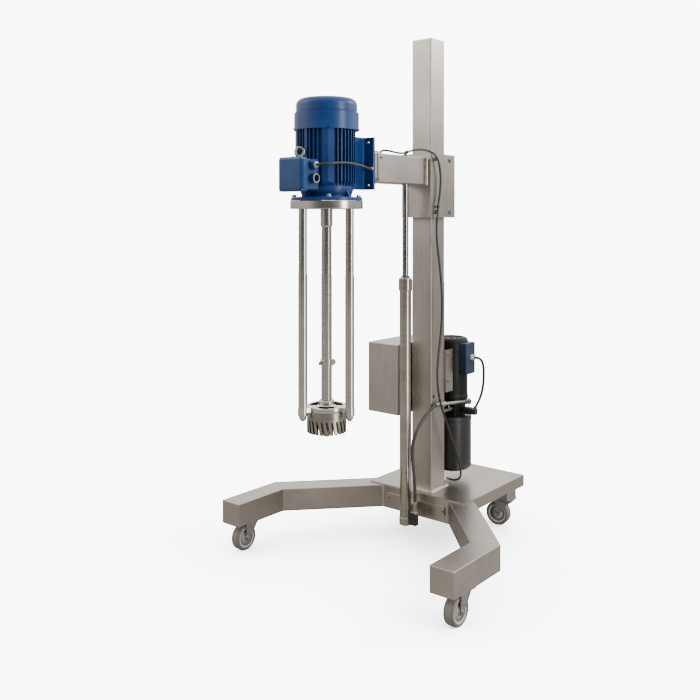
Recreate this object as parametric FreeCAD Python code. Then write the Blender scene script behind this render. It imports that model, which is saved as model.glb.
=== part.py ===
import FreeCAD, Part
import math
import os

# High shear mixer hung from a hydraulic lift stand on casters.
# Millimetres, Z up, mixing head towards -Y, floor at Z = 0.
# Everything is drawn round the column's axis and moved to the middle of the
# whole machine when it is saved.

os.makedirs("parts", exist_ok=True)
V = FreeCAD.Vector

# Clearances
slide_gap = 0.3
running_gap = 0.06

# Legs and cross beam, folded stainless box tubes
caster_height = 134.9
leg_height = 102.8
leg_outer_x = 621.8
leg_width = 107.0
leg_front_reach = 750.6
leg_bend_reach = 466.3
diagonal_width = 115.0
beam_half_width = 186.8
beam_front_reach = 110.2
beam_depth = 103.0
leg_wall = 3.0
fold_radius = 2.5

# Platform, a folded tray behind the legs
platform_half_width = 269.7
platform_front_reach = 107.4
platform_rear_reach = 447.6
platform_sheet = 5.0
platform_lip = 51.0
lip_sheet = 3.0

# Column
column_width = 108.7
column_depth = 114.9
column_wall = 4.0
column_top = 2373.0
column_radius = 4.0
foot_flange_lap = 11.0
foot_flange_height = 9.0
column_gland_x = 34.0
column_gland_rise = 23.3
column_gland_length = 30.0

# Casters
wheel_radius = 57.5
wheel_width = 46.0
tyre_depth = 14.0
tread_flat = 26.0
caster_trail = 30.0
front_swivel_side_setback = 46.9
front_swivel_end_setback = 116.6
rear_swivel_x = 201.0
rear_swivel_setback = 73.6
rear_right_heading = 189.5
fork_clearance = 3.0
caster_plate_length = 100.0
caster_plate_width = 84.0
caster_plate_sheet = 5.0
race_radius = 29.0
race_height = 8.0
fork_sheet = 4.0
fork_crown_radius = 36.0
axle_radius = 6.0
pin_radius = 8.0

# Lift carriage
carriage_half_width = 82.7
carriage_front_reach = 102.3
carriage_rear_reach = 104.1
carriage_bottom = 1528.2
carriage_height = 298.8
carriage_sheet = 8.0
shoe_height = 48.0
shoe_cheek = 26.0
lift_bolt_inset = 26.0
front_bolt_inset = 34.3
rear_bolt_inset = 42.0

# Arm and motor plate
arm_half_width = 60.0
arm_bottom = 1681.0
arm_height = 126.0
arm_wall = 5.0
plate_half_width = 135.0
plate_thickness = 34.7
plate_corner = 12.0
plate_groove = 6.0
arm_exit_x = 38.0
arm_exit_setback = 124.0
clip_wall = 3.0
clip_length = 10.0

# Mixer motor
motor_reach = 741.7
foot_plane_distance = 151.0
foot_half_width = 135.0
foot_height = 218.0
foot_bottom = 1642.7
foot_thickness = 13.3
foot_hole_half_spacing = 108.0
foot_inner_x = 68.0
foot_web_x = 86.0
foot_web = 13.0
foot_hole_inset = 20.0
foot_hole_radius = 6.0
barrel_radius = 112.0
barrel_bore = 96.0
barrel_bottom = 1655.0
fin_radius = 127.5
fin_thickness = 3.4
land_width = 50.0
spine_width = 14.0
fin_pitch = 7.6
cowl_bottom = 1883.5
cowl_radius = 133.5
cowl_sheet = 2.2
cowl_step = 1957.5
hood_radius = 126.5
hood_top = 2016.6
hood_shoulder = 28.0
bell_flange_radius = 147.0
bell_flange_height = 15.0
motor_bolt_circle = 132.5
shaft_radius_motor = 19.0
core_bore = 66.0
core_rise = 41.0
core_length = 150.0
winding_head = 24.0
air_gap = 2.0
lower_bearing_depth = 21.0
upper_bearing_depth = 16.0
land_angles = (-46.0, -134.0)
fan_radius = 100.0
fan_blade_count = 8
vent_count = 24
vent_width = 5.0
vent_inner = 34.0
vent_outer = 88.0

# Terminal box on the motor
box_front_reach = 223.3
box_lid_depth = 33.0
box_lid_half_width = 66.5
box_lid_height = 137.0
box_lid_bottom = 1629.0
box_lid_chamfer = 11.0
box_body_inset = 7.0
box_body_back_reach = 118.0
screw_seat = 12.0
screw_inset = 8.0
eye_ring = 17.5
eye_section = 5.0
eye_rise = 30.0
gland_radius = 20.0
gland_end_x = 80.0
gland_y_offset = 153.3
spare_gland_drop = 53.0
gland_rise = 106.0
spare_bore_radius = 14.0
spare_bore_length = 18.0

# Mixing head
support_plate_radius = 150.0
support_plate_top = 1596.0
support_plate_thickness = 33.0
support_plate_bore = 27.0
rod_count = 3
rod_radius = 17.5
rod_circle = 109.5
rod_first_angle = 9.5
ring_top = 758.0
ring_thickness = 10.0
ring_radius = 82.5
ear_radius = 19.0
ear_height = 30.0
hub_radius = 31.0
hub_rise = 21.0
bush_radius = 26.5
shaft_radius = 21.0
shaft_sleeve_radius = 25.5
shaft_sleeve_bottom = 1489.0
stator_radius = 80.0
stator_wall = 8.5
stator_top = 740.0
stator_bottom = 650.6
slot_count = 24
slot_width = 8.5
slot_top = 701.0
slot_lean = 11.0
rotor_gap = 0.7
rotor_blade_count = 6
shaft_tip = 630.0
propeller_height = 934.6
propeller_reach = 39.0

# Hydraulic cylinder
cylinder_reach = 187.7
cylinder_radius = 25.5
cylinder_wall = 5.5
cylinder_cap_radius = 27.5
cylinder_cap_bottom = 114.0
cylinder_bottom = 148.0
cylinder_head_bottom = 1189.0
cylinder_head_top = 1254.0
cylinder_head_radius = 30.0
piston_rod_radius = 14.0
piston_depth = 1026.0
bracket_half_width = 165.0
bracket_bottom = 166.0
bracket_height = 40.0
bracket_sheet = 8.0

# Control enclosure on the column's left
enclosure_gap = 12.25
enclosure_depth = 156.4
enclosure_door = 17.0
enclosure_half_length = 157.0
enclosure_bottom = 599.0
enclosure_height = 330.0
enclosure_sheet = 2.0
hinge_radius = 5.0
hinge_pin_radius = 2.2
hinge_height = 18.0
button_radius = 11.0
button_spacing = 62.0
button_column = 80.0
button_rise = 85.0
main_dial_extra = 6.0
lift_dial_extra = 2.0
latch_inset = 22.0
hinge_inset = 45.0
rail_height = 30.0

# Power pack behind the column
pack_reach = 205.0
tank_radius = 95.0
tank_bottom = 287.0
tank_top = 553.0
manifold_top = 637.0
manifold_half = 50.0
pack_motor_radius = 77.0
pack_motor_top = 935.0
pack_flange_radius = 80.0
pack_box_bottom = 765.0
pack_box_height = 150.0
pack_box_front_x = 108.0
pack_gland_offset = 11.0
pack_gland_rise = 79.0
pack_gland_length = 18.0
solenoid_rise = 22.0
solenoid_offset = 25.0
shelf_half_width = 40.0
shelf_rise = 47.0
shelf_sheet = 12.0
cheek_x = 62.0
cheek_sheet = 5.0
cheek_bottom = 690.0
cheek_top = 892.0
cheek_depth = 60.0

# Hose, pipe and cables
hose_diameter = 15.0
cable_diameter = 10.0
pipe_radius = 9.0
hose_x = 54.0
hose_start_z = 226.0
elbow_top = 165.0
pipe_start = (69.0, -12.0, 645.0)
pipe_end_x = 69.0
pipe_end_offset = 35.0
pipe_end_drop = 18.0

# Values that follow from those above
leg_top = caster_height + leg_height
platform_top = leg_top + platform_sheet
front_reach = motor_reach + box_front_reach
column_y = (front_reach - platform_rear_reach) / 2
arm_top = arm_bottom + arm_height
foot_plane_y = -motor_reach + foot_plane_distance
plate_rear_y = foot_plane_y + plate_thickness
arm_exit_y = plate_rear_y + arm_exit_setback
carriage_top = carriage_bottom + carriage_height
support_plate_bottom = support_plate_top - support_plate_thickness
bell_flange_top = support_plate_top + bell_flange_height
core_bottom = barrel_bottom + core_rise
column_front_y = -column_depth / 2
column_rear_y = column_depth / 2
gland_height = box_lid_bottom + gland_rise
column_gland_z = platform_top + column_gland_rise
column_gland_end_y = column_rear_y + column_gland_length
column_side_x = column_width / 2
front_swivel_x = leg_outer_x - front_swivel_side_setback
front_swivel_reach = leg_front_reach - front_swivel_end_setback
rear_swivel_y = platform_rear_reach - rear_swivel_setback
pack_gland_y = pack_reach + pack_gland_offset
pack_gland_z = pack_box_bottom + pack_gland_rise
solenoid_z = tank_top + solenoid_rise
shelf_top = tank_top + shelf_rise
pipe_end = (pipe_end_x, pack_reach + pipe_end_offset, manifold_top - pipe_end_drop)
motor_gland_y = -motor_reach - gland_y_offset
rod_angles = [rod_first_angle + 360.0 / rod_count * i for i in range(rod_count)]


def save(name, *solids):
    """Moves the solids to the machine's frame and writes them as one node."""
    moved = []
    for solid in solids:
        copy = solid.copy()
        copy.translate(V(0, column_y, 0))
        moved.extend(copy.Solids)
    shape = moved[0] if len(moved) == 1 else Part.makeCompound(moved)
    shape.exportStep("parts/" + name + ".step")


def block(x0, x1, y0, y1, z0, z1):
    return Part.makeBox(x1 - x0, y1 - y0, z1 - z0, V(x0, y0, z0))


def rod(radius, length, start, direction=V(0, 0, 1)):
    return Part.makeCylinder(radius, length, start, direction)


def tube(outer, inner, length, start, direction=V(0, 0, 1)):
    return rod(outer, length, start, direction).cut(rod(inner, length, start, direction))


def prism(points, z0, z1):
    """A closed plan outline raised from z0 to z1."""
    corners = [V(x, y, z0) for x, y in points]
    face = Part.Face(Part.makePolygon(corners + corners[:1]))
    return face.extrude(V(0, 0, z1 - z0))


def turned(profile, x=0.0, y=0.0):
    """A closed outline of radius and height pairs, turned about a vertical axis."""
    corners = [V(radius, 0, z) for radius, z in profile]
    face = Part.Face(Part.makePolygon(corners + corners[:1]))
    solid = face.revolve(V(0, 0, 0), V(0, 0, 1), 360)
    solid.translate(V(x, y, 0))
    return solid


def inset(points, distance):
    """The same plan outline, given anticlockwise, moved inwards by a wall."""
    count = len(points)
    lines = []
    for i in range(count):
        x0, y0 = points[i]
        x1, y1 = points[(i + 1) % count]
        length = math.hypot(x1 - x0, y1 - y0)
        nx = -(y1 - y0) / length
        ny = (x1 - x0) / length
        lines.append((nx, ny, nx * x0 + ny * y0 + distance))
    moved = []
    for i in range(count):
        a, b, c = lines[i - 1]
        d, e, f = lines[i]
        det = a * e - b * d
        moved.append(((c * e - b * f) / det, (a * f - c * d) / det))
    return moved


def upright_edges(solid):
    """The straight edges that stand parallel to Z."""
    found = []
    for edge in solid.Edges:
        a = edge.Vertexes[0].Point
        b = edge.Vertexes[-1].Point
        if abs(a.x - b.x) < 0.01 and abs(a.y - b.y) < 0.01 and abs(a.z - b.z) > 0.01:
            found.append(edge)
    return found


def rounded_block(x0, x1, y0, y1, z0, z1, radius, along="z"):
    """A block whose four edges along one direction are rounded."""
    solid = block(x0, x1, y0, y1, z0, z1)
    pick = {"x": 0, "y": 1, "z": 2}[along]
    chosen = []
    for edge in solid.Edges:
        run = edge.Vertexes[1].Point - edge.Vertexes[0].Point
        if abs(run[pick]) > 0.01:
            chosen.append(edge)
    return solid.makeFillet(radius, chosen)


def merged(solids):
    result = solids[0]
    for solid in solids[1:]:
        result = result.fuse(solid)
    return result.removeSplitter()


def mirrored_x(solid):
    return solid.mirror(V(0, 0, 0), V(1, 0, 0))


def hexagon(across, height, start, direction=V(0, 0, 1)):
    """A bolt head or nut, standing on its start point."""
    radius = across / math.sqrt(3)
    corners = []
    for i in range(6):
        turn = math.radians(60 * i)
        corners.append(V(radius * math.cos(turn), radius * math.sin(turn), 0))
    face = Part.Face(Part.makePolygon(corners + corners[:1]))
    solid = face.extrude(V(0, 0, height))
    solid.Placement = FreeCAD.Placement(start, FreeCAD.Rotation(V(0, 0, 1), direction))
    return solid


def bolt(across, head, start, direction):
    """A hexagon head on a round washer, seated at its start point."""
    washer = across * 0.08
    lift = V(direction)
    lift.multiply(washer)
    disc = rod(across * 0.62, washer, start, direction)
    return disc.fuse(hexagon(across, head, start + lift, direction))


def cord(points, diameter):
    """A tube along straight runs joined by tangent arcs, each as large as its runs allow."""
    route = [V(*point) for point in points]
    edges = []
    start = route[0]
    for i in range(1, len(route) - 1):
        before = route[i - 1] - route[i]
        after = route[i + 1] - route[i]
        short = min(before.Length, after.Length)
        turn = math.pi - before.getAngle(after)
        reach = 0.45 * short
        before.normalize()
        after.normalize()
        leave = route[i] + before * reach
        meet = route[i] + after * reach
        half = before + after
        half.normalize()
        radius = reach / math.tan(turn / 2)
        centre_distance = math.hypot(radius, reach)
        middle = route[i] + half * (centre_distance - radius)
        edges.append(Part.LineSegment(start, leave).toShape())
        edges.append(Part.Arc(leave, middle, meet).toShape())
        start = meet
    edges.append(Part.LineSegment(start, route[-1]).toShape())
    path = Part.Wire(edges)
    first = route[1] - route[0]
    first.normalize()
    section = Part.Wire(Part.makeCircle(diameter / 2, route[0], first))
    return path.makePipeShell([section], True, False)


# The legs and the beam

def diagonal_line(offset):
    """The line a*x + b*y = c of a diagonal's inner side, moved outwards by an offset."""
    run_x = beam_half_width - (leg_outer_x - leg_width)
    run_y = leg_bend_reach - beam_front_reach
    length = math.hypot(run_x, run_y)
    a = run_y / length
    b = -run_x / length
    return a, b, a * beam_half_width - b * beam_front_reach + offset


def leg_outline():
    rear_y = beam_depth - beam_front_reach
    a, b, inner = diagonal_line(0)
    outer = diagonal_line(diagonal_width)[2]
    inner_x = leg_outer_x - leg_width
    return [(inner_x, -leg_front_reach),
            (leg_outer_x, -leg_front_reach),
            (leg_outer_x, (outer - a * leg_outer_x) / b),
            ((outer - b * rear_y) / a, rear_y),
            ((inner - b * rear_y) / a, rear_y),
            (inner_x, -leg_bend_reach)]


def box_tube(outline, z0, z1):
    outer = prism(outline, z0, z1)
    outer = outer.makeFillet(fold_radius, outer.Edges)
    return outer.cut(prism(inset(outline, leg_wall), z0 + leg_wall, z1 - leg_wall))


def make_legs():
    leg = box_tube(leg_outline(), caster_height, leg_top)
    save("leg_right", leg)
    save("leg_left", mirrored_x(leg))
    rear_y = beam_depth - beam_front_reach
    a, b, inner = diagonal_line(0)
    rear_x = (inner - b * rear_y) / a
    outline = [(-beam_half_width, -beam_front_reach), (beam_half_width, -beam_front_reach),
               (rear_x, rear_y), (-rear_x, rear_y)]
    outer = prism(outline, caster_height, leg_top)
    save("cross_beam", outer.cut(prism(inset(outline, leg_wall),
                                       caster_height + leg_wall, leg_top - leg_wall)))


def make_platform():
    w = platform_half_width
    front = -platform_front_reach
    rear = platform_rear_reach
    outer = block(-w, w, front, rear, platform_top - platform_lip, platform_top)
    outer = outer.makeFillet(fold_radius, upright_edges(outer))
    hollow = block(-w + lip_sheet, w - lip_sheet, front - 1, rear - lip_sheet,
                   platform_top - platform_lip - 1, leg_top)
    tray = outer.cut(hollow)
    leg = prism(leg_outline(), caster_height, leg_top)
    tray = tray.cut(leg).cut(mirrored_x(leg))
    tray = tray.cut(block(-w - 1, w + 1, front - 1, -beam_front_reach + beam_depth - 25,
                          platform_top - platform_lip - 1, leg_top))
    save("platform", tray)


def make_column():
    x = column_side_x
    y = column_rear_y
    outer = rounded_block(-x, x, -y, y, platform_top, column_top, column_radius)
    hollow = block(-x + column_wall, x - column_wall, -y + column_wall, y - column_wall,
                   platform_top, column_top - column_wall)
    lap = foot_flange_lap
    flange = block(-x - lap, x + lap, -y - lap, y + lap, platform_top,
                   platform_top + foot_flange_height)
    flange = flange.makeChamfer(2.0, [e for e in flange.Edges if e.BoundBox.ZMin > platform_top + 1])
    body = outer.fuse(flange.cut(block(-x + 1, x - 1, -y + 1, y - 1, platform_top, platform_top + 50)))
    body = body.removeSplitter().cut(hollow)
    entry = rod(cable_diameter / 2, 4 * column_wall, V(column_gland_x, y - 3 * column_wall, column_gland_z),
                V(0, 1, 0))
    save("column", body.cut(entry))


# Casters, each a fixed plate, a swivelling fork and a wheel

def caster_places():
    """Name, swivel axis and the direction in which the wheel trails."""
    return [("front_right", front_swivel_x, -front_swivel_reach, -90.0),
            ("front_left", -front_swivel_x, -front_swivel_reach, -90.0),
            ("rear_right", rear_swivel_x, rear_swivel_y, rear_right_heading),
            ("rear_left", -rear_swivel_x, rear_swivel_y, 180.0)]


def caster_plate():
    top = caster_height
    plate = rounded_block(-caster_plate_width / 2, caster_plate_width / 2,
                          -caster_plate_length / 2, caster_plate_length / 2,
                          top - caster_plate_sheet, top, 6.0)
    race_bottom = top - caster_plate_sheet - race_height
    race = turned([(0, race_bottom), (race_radius - 6, race_bottom),
                   (race_radius, race_bottom + 3), (race_radius, race_bottom + 5),
                   (race_radius - 3, top - caster_plate_sheet), (0, top - caster_plate_sheet)])
    bore = rod(pin_radius + running_gap, race_height + 6, V(0, 0, race_bottom - 1))
    return plate.fuse(race).removeSplitter().cut(bore)


def caster_fork():
    """Crown, two tapered cheeks, pin and wheel bolt; the wheel trails towards -Y."""
    crown_top = caster_height - caster_plate_sheet - race_height - slide_gap
    inner = wheel_width / 2 + fork_clearance
    outer = inner + fork_sheet
    crown = rod(fork_crown_radius, fork_sheet, V(0, 0, crown_top - fork_sheet))
    slab = block(-outer, outer, -fork_crown_radius, fork_crown_radius,
                 crown_top - fork_sheet, crown_top)
    crown = crown.common(slab)
    top_y = fork_crown_radius * 0.86
    low = wheel_radius
    corners = [V(0, top_y, crown_top), V(0, -top_y - 6, crown_top),
               V(0, -caster_trail - 13, low - 4), V(0, -caster_trail + 13, low - 4)]
    foot = Part.Arc(corners[2], V(0, -caster_trail, low - 15), corners[3]).toShape()
    side = [Part.LineSegment(corners[3], corners[0]).toShape(),
            Part.LineSegment(corners[0], corners[1]).toShape(),
            Part.LineSegment(corners[1], corners[2]).toShape()]
    cheek = Part.Face(Part.Wire(side + [foot])).extrude(V(fork_sheet, 0, 0))
    right = cheek.copy()
    right.translate(V(inner, 0, 0))
    left = cheek.copy()
    left.translate(V(-outer, 0, 0))
    crown = crown.fuse(block(-outer, outer, -top_y - 6, top_y, crown_top - fork_sheet, crown_top))
    axle = rod(axle_radius, 2 * outer + 8, V(-outer - 4, -caster_trail, low), V(1, 0, 0))
    head = hexagon(17, 6, V(outer, -caster_trail, low), V(1, 0, 0))
    nut = hexagon(17, 6, V(-outer, -caster_trail, low), V(-1, 0, 0))
    pin = rod(pin_radius, race_height + 3, V(0, 0, crown_top - 1))
    return merged([crown, right, left, axle, head, nut, pin])


def caster_wheel():
    """Rubber tyre with rounded shoulders on a dished hub, axle along X at the origin."""
    half = wheel_width / 2
    rim = wheel_radius - tyre_depth
    shoulder = half - tread_flat / 2
    tread = [V(wheel_radius, 0, -tread_flat / 2), V(wheel_radius, 0, tread_flat / 2)]
    corner = wheel_radius - shoulder * 0.3
    top = Part.Arc(tread[1], V(corner, 0, half - shoulder * 0.3), V(wheel_radius - shoulder, 0, half))
    low = Part.Arc(V(wheel_radius - shoulder, 0, -half), V(corner, 0, -half + shoulder * 0.3), tread[0])
    edges = [Part.LineSegment(tread[0], tread[1]).toShape(), top.toShape(),
             Part.LineSegment(V(wheel_radius - shoulder, 0, half), V(rim, 0, half - 3)).toShape(),
             Part.LineSegment(V(rim, 0, half - 3), V(rim, 0, -half + 3)).toShape(),
             Part.LineSegment(V(rim, 0, -half + 3), V(wheel_radius - shoulder, 0, -half)).toShape(),
             low.toShape()]
    tyre = Part.Face(Part.Wire(edges)).revolve(V(0, 0, 0), V(0, 0, 1), 360)
    bore = axle_radius + running_gap
    hub = turned([(bore, -half - 1), (15, -half - 1), (16, -half + 8), (rim - 6, -half + 10),
                  (rim - 5, -half + 4), (rim, -half + 4), (rim, half - 4), (rim - 5, half - 4),
                  (rim - 6, half - 10), (16, half - 8), (15, half + 1), (bore, half + 1)])
    for solid in (tyre, hub):
        solid.Placement = FreeCAD.Placement(V(0, 0, 0), FreeCAD.Rotation(V(0, 1, 0), 90))
    return tyre, hub


def placed(solid, x, y, z, turn):
    copy = solid.copy()
    copy.rotate(V(0, 0, 0), V(0, 0, 1), turn)
    copy.translate(V(x, y, z))
    return copy


def make_casters():
    plates = []
    plate = caster_plate()
    fork = caster_fork()
    tyre, hub = caster_wheel()
    for name, x, y, heading in caster_places():
        turn = heading + 90.0
        plates.append(placed(plate, x, y, 0, turn))
        if y > 0:
            half = caster_plate_width / 2
            plates.append(rounded_block(x - half, x + half, y - half, y + half,
                                        caster_height, leg_top, 5.0))
        save("fork_" + name, placed(fork, x, y, 0, turn))
        reach = math.radians(heading)
        centre_x = x + caster_trail * math.cos(reach)
        centre_y = y + caster_trail * math.sin(reach)
        save("wheel_" + name, placed(tyre, centre_x, centre_y, wheel_radius, turn),
             placed(hub, centre_x, centre_y, wheel_radius, turn))
    save("caster_plates", *plates)


# Lift carriage, arm and motor plate

def make_carriage():
    w = carriage_half_width
    t = carriage_sheet
    front = -carriage_front_reach
    rear = carriage_rear_reach
    z0 = carriage_bottom
    z1 = carriage_top
    front_plate = block(-w, w, front, front + t, z0, z1)
    front_plate = front_plate.makeFillet(1.5, upright_edges(front_plate))
    rear_plate = block(-w, w, rear - t, rear, z0, z1)
    side = block(w - t, w, front + t, rear - t, z0, z1)
    save("carriage_plates", front_plate, rear_plate, side, mirrored_x(side))
    shoes = []
    x = w - t
    for middle in (z0 + lift_bolt_inset, z1 - lift_bolt_inset):
        low = middle - shoe_height / 2
        high = middle + shoe_height / 2
        hollow = block(-column_side_x - slide_gap, column_side_x + slide_gap,
                       column_front_y - slide_gap, column_rear_y + slide_gap, low, high)
        shoes.append(block(-x, x, front + t, column_front_y + shoe_cheek, low, high).cut(hollow))
        shoes.append(block(-x, x, column_rear_y - shoe_cheek, rear - t, low, high).cut(hollow))
    save("guide_shoes", *shoes)


def carriage_bolts():
    bolts = []
    w = carriage_half_width
    for y in (-carriage_front_reach + front_bolt_inset, carriage_rear_reach - rear_bolt_inset):
        for z in (carriage_bottom + lift_bolt_inset, carriage_top - lift_bolt_inset):
            bolts.append(bolt(17, 6.4, V(w, y, z), V(1, 0, 0)))
            bolts.append(bolt(17, 6.4, V(-w, y, z), V(-1, 0, 0)))
    return bolts


def make_arm():
    w = arm_half_width
    outer = rounded_block(-w, w, plate_rear_y, -carriage_front_reach, arm_bottom, arm_top,
                          fold_radius + 1, "y")
    hollow = block(-w + arm_wall, w - arm_wall, plate_rear_y, -carriage_front_reach,
                   arm_bottom + arm_wall, arm_top - arm_wall)
    arm = outer.cut(hollow)
    boss = rod(piston_rod_radius + 10, 16, V(0, -cylinder_reach, arm_bottom + arm_wall))
    arm = arm.fuse(boss).removeSplitter()
    arm = arm.cut(rod(cable_diameter / 2 + 1, 4 * arm_wall,
                      V(arm_exit_x, arm_exit_y, arm_top - 2 * arm_wall)))
    save("arm", arm)
    face = foot_plane_y
    w = plate_half_width
    skin = (plate_thickness - plate_groove) / 2
    g = plate_groove
    front = rounded_block(-w, w, face, face + skin, arm_bottom, arm_top, plate_corner, "y")
    middle = rounded_block(-w + g, w - g, face + skin, face + skin + g,
                           arm_bottom + g, arm_top - g, plate_corner - g / 2, "y")
    back = rounded_block(-w, w, face + skin + g, plate_rear_y, arm_bottom, arm_top, plate_corner, "y")
    save("motor_plate", merged([front, middle, back]))


# Mixer motor

def foot_outline():
    """Plan of one foot: a web from the barrel that flares into its pad."""
    z = foot_bottom
    pad_y = foot_plane_y - foot_thickness
    start_y = -motor_reach + 35
    inner = foot_web_x - foot_web
    flare = 8.0
    bend = V(foot_web_x, pad_y - flare, z)
    turn = V(foot_web_x + flare * 0.3, pad_y - flare * 0.3, z)
    edges = [Part.LineSegment(V(foot_web_x, start_y, z), bend).toShape(),
             Part.Arc(bend, turn, V(foot_web_x + flare, pad_y, z)).toShape()]
    rest = [V(foot_web_x + flare, pad_y, z), V(foot_half_width, pad_y, z),
            V(foot_half_width, foot_plane_y, z), V(foot_inner_x, foot_plane_y, z),
            V(foot_inner_x, pad_y, z), V(inner, pad_y - 6, z), V(inner, start_y, z),
            V(foot_web_x, start_y, z)]
    for a, b in zip(rest[:-1], rest[1:]):
        edges.append(Part.LineSegment(a, b).toShape())
    return Part.Face(Part.Wire(edges))


def motor_fin(angle, thickness):
    """A radial fin whose lower end slopes back into the barrel."""
    root = barrel_radius - 2
    tip = fin_radius
    low = barrel_bottom
    top = cowl_bottom + 4
    half = thickness / 2
    corners = [V(root, -half, low), V(root + 6, -half, low), V(tip, -half, low + 17),
               V(tip, -half, top), V(root, -half, top)]
    fin = Part.Face(Part.makePolygon(corners + corners[:1])).extrude(V(0, thickness, 0))
    fin.rotate(V(0, 0, 0), V(0, 0, 1), angle)
    fin.translate(V(0, -motor_reach, 0))
    return fin


def fin_angles():
    """Thin fins on both sides, in front and behind, between plain lands and feet."""
    side = [-28.0 + fin_pitch * i for i in range(7)]
    front = [-90.0 + 1.1 * fin_pitch * i for i in range(1, 4)]
    rear = [90.0 - fin_pitch * (i + 0.5) for i in range(4)]
    right = side + front + rear
    left = [180.0 - angle for angle in right]
    return right + left


def motor_land(angle):
    """A plain corner of the frame, two flats that meet in a low ridge."""
    low = barrel_bottom
    half = land_width / 2
    corners = [V(barrel_radius - 8, -half, 0), V(fin_radius - 4, -half, 0), V(fin_radius + 1.5, 0, 0),
               V(fin_radius - 4, half, 0), V(barrel_radius - 8, half, 0)]
    land = Part.Face(Part.makePolygon(corners + corners[:1])).extrude(V(0, 0, cowl_bottom + 4 - low))
    slope = [V(barrel_radius - 2, -60, -1), V(fin_radius + 20, -60, -1), V(fin_radius + 20, -60, 33)]
    cut = Part.Face(Part.makePolygon(slope + slope[:1])).extrude(V(0, 120, 0))
    land = land.cut(cut)
    land.rotate(V(0, 0, 0), V(0, 0, 1), angle)
    land.translate(V(0, -motor_reach, low))
    return land


def make_motor_frame():
    barrel = tube(barrel_radius, barrel_bore, cowl_bottom + 4 - barrel_bottom,
                  V(0, -motor_reach, barrel_bottom))
    foot = foot_outline().extrude(V(0, 0, foot_height))
    inside = rod(barrel_radius - 4, 400, V(0, -motor_reach, foot_bottom - 50))
    below = rod(barrel_radius + slide_gap, 200, V(0, -motor_reach, barrel_bottom - 200))
    feet = foot.fuse(mirrored_x(foot)).cut(inside).cut(below)
    body = barrel.fuse(feet)
    fins = [motor_fin(angle, fin_thickness) for angle in fin_angles()]
    lands = [motor_land(angle) for angle in land_angles]
    neck_y = -motor_reach - box_body_back_reach
    neck = rounded_block(-46, 46, neck_y, -motor_reach - 90, box_lid_bottom + 14,
                         box_lid_bottom + 128, 8.0, "y")
    neck = neck.cut(inside).cut(below)
    spine = motor_fin(-90.0, spine_width)
    body = merged([body, neck, spine] + fins + lands)
    shield_z = cowl_bottom - 8
    seat = shaft_radius_motor + upper_bearing_depth
    shield = turned([(seat, shield_z - 14), (seat + 8, shield_z - 14), (seat + 8, shield_z),
                     (barrel_bore, shield_z), (barrel_bore, shield_z + 8), (seat, shield_z + 8)],
                    0, -motor_reach)
    body = body.fuse(shield)
    i = box_body_inset
    body = body.cut(block(-box_lid_half_width, box_lid_half_width, neck_y - 60, neck_y,
                          box_lid_bottom + i - 1, box_lid_bottom + box_lid_height - i))
    for angle in (45, 135, 225, 315):
        lug = block(barrel_bore + 2, cowl_radius - cowl_sheet, -7, 7, cowl_bottom, cowl_bottom + 14)
        lug.rotate(V(0, 0, 0), V(0, 0, 1), angle)
        lug.translate(V(0, -motor_reach, 0))
        within = rod(cowl_radius - cowl_sheet, 400, V(0, -motor_reach, cowl_bottom - 50))
        body = body.fuse(lug.common(within))
    for side in (-1, 1):
        for z in (foot_bottom + foot_hole_inset, foot_bottom + foot_height - foot_hole_inset):
            body = body.cut(rod(foot_hole_radius, foot_thickness + 4,
                                V(side * foot_hole_half_spacing, foot_plane_y - foot_thickness - 2, z),
                                V(0, 1, 0)))
    save("motor_frame", body)


def make_motor_bell():
    z0 = support_plate_top
    z1 = bell_flange_top
    r = bell_flange_radius
    seat = shaft_radius_motor + lower_bearing_depth
    bell = turned([(shaft_radius_motor + 5, z0), (r, z0), (r, z1 - 3), (r - 3, z1), (102, z1),
                   (103, z1 + 8), (108, z1 + 22), (barrel_radius, barrel_bottom - 10),
                   (barrel_radius, barrel_bottom), (barrel_bore, barrel_bottom),
                   (barrel_bore - 4, barrel_bottom - 14), (seat + 9, z1 + 12), (seat + 9, z1 + 30),
                   (seat, z1 + 30), (seat, z1 + 2), (shaft_radius_motor + 5, z1 + 2)], 0, -motor_reach)
    ribs = []
    for i in range(4):
        corners = [V(98, -4, z1 - 2), V(128, -4, z1 - 2), V(110, -4, z1 + 26), V(98, -4, z1 + 26)]
        rib = Part.Face(Part.makePolygon(corners + corners[:1])).extrude(V(0, 8, 0))
        rib.rotate(V(0, 0, 0), V(0, 0, 1), 90 * i)
        rib.translate(V(0, -motor_reach, 0))
        ribs.append(rib)
    save("motor_bell", merged([bell] + ribs))


def motor_flange_bolts():
    bolts = []
    for i in range(4):
        angle = math.radians(45 + 90 * i)
        x = motor_bolt_circle * math.cos(angle)
        y = -motor_reach + motor_bolt_circle * math.sin(angle)
        bolts.append(bolt(18, 9, V(x, y, bell_flange_top), V(0, 0, 1)))
    return bolts


def hood_solid(wall):
    """The cowl's outside, or its inside when a wall is given."""
    r = cowl_radius - wall
    h = hood_radius - wall
    top = hood_top - wall
    s = hood_shoulder - wall
    corners = [V(0, 0, cowl_bottom), V(r, 0, cowl_bottom), V(r, 0, cowl_step - 3 - wall),
               V(h, 0, cowl_step + 1 - wall), V(h, 0, top - s - 2), V(h - s, 0, top - 2), V(0, 0, top)]
    edges = []
    for i in (0, 1, 2, 3, 5):
        edges.append(Part.LineSegment(corners[i], corners[i + 1]).toShape())
    bulge = s * (1 - math.sqrt(0.5))
    middle = V(h - bulge, 0, top - 2 - bulge)
    edges.insert(4, Part.Arc(corners[4], middle, corners[5]).toShape())
    edges.append(Part.LineSegment(corners[6], corners[0]).toShape())
    solid = Part.Face(Part.Wire(edges)).revolve(V(0, 0, 0), V(0, 0, 1), 360)
    solid.translate(V(0, -motor_reach, 0))
    return solid


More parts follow.
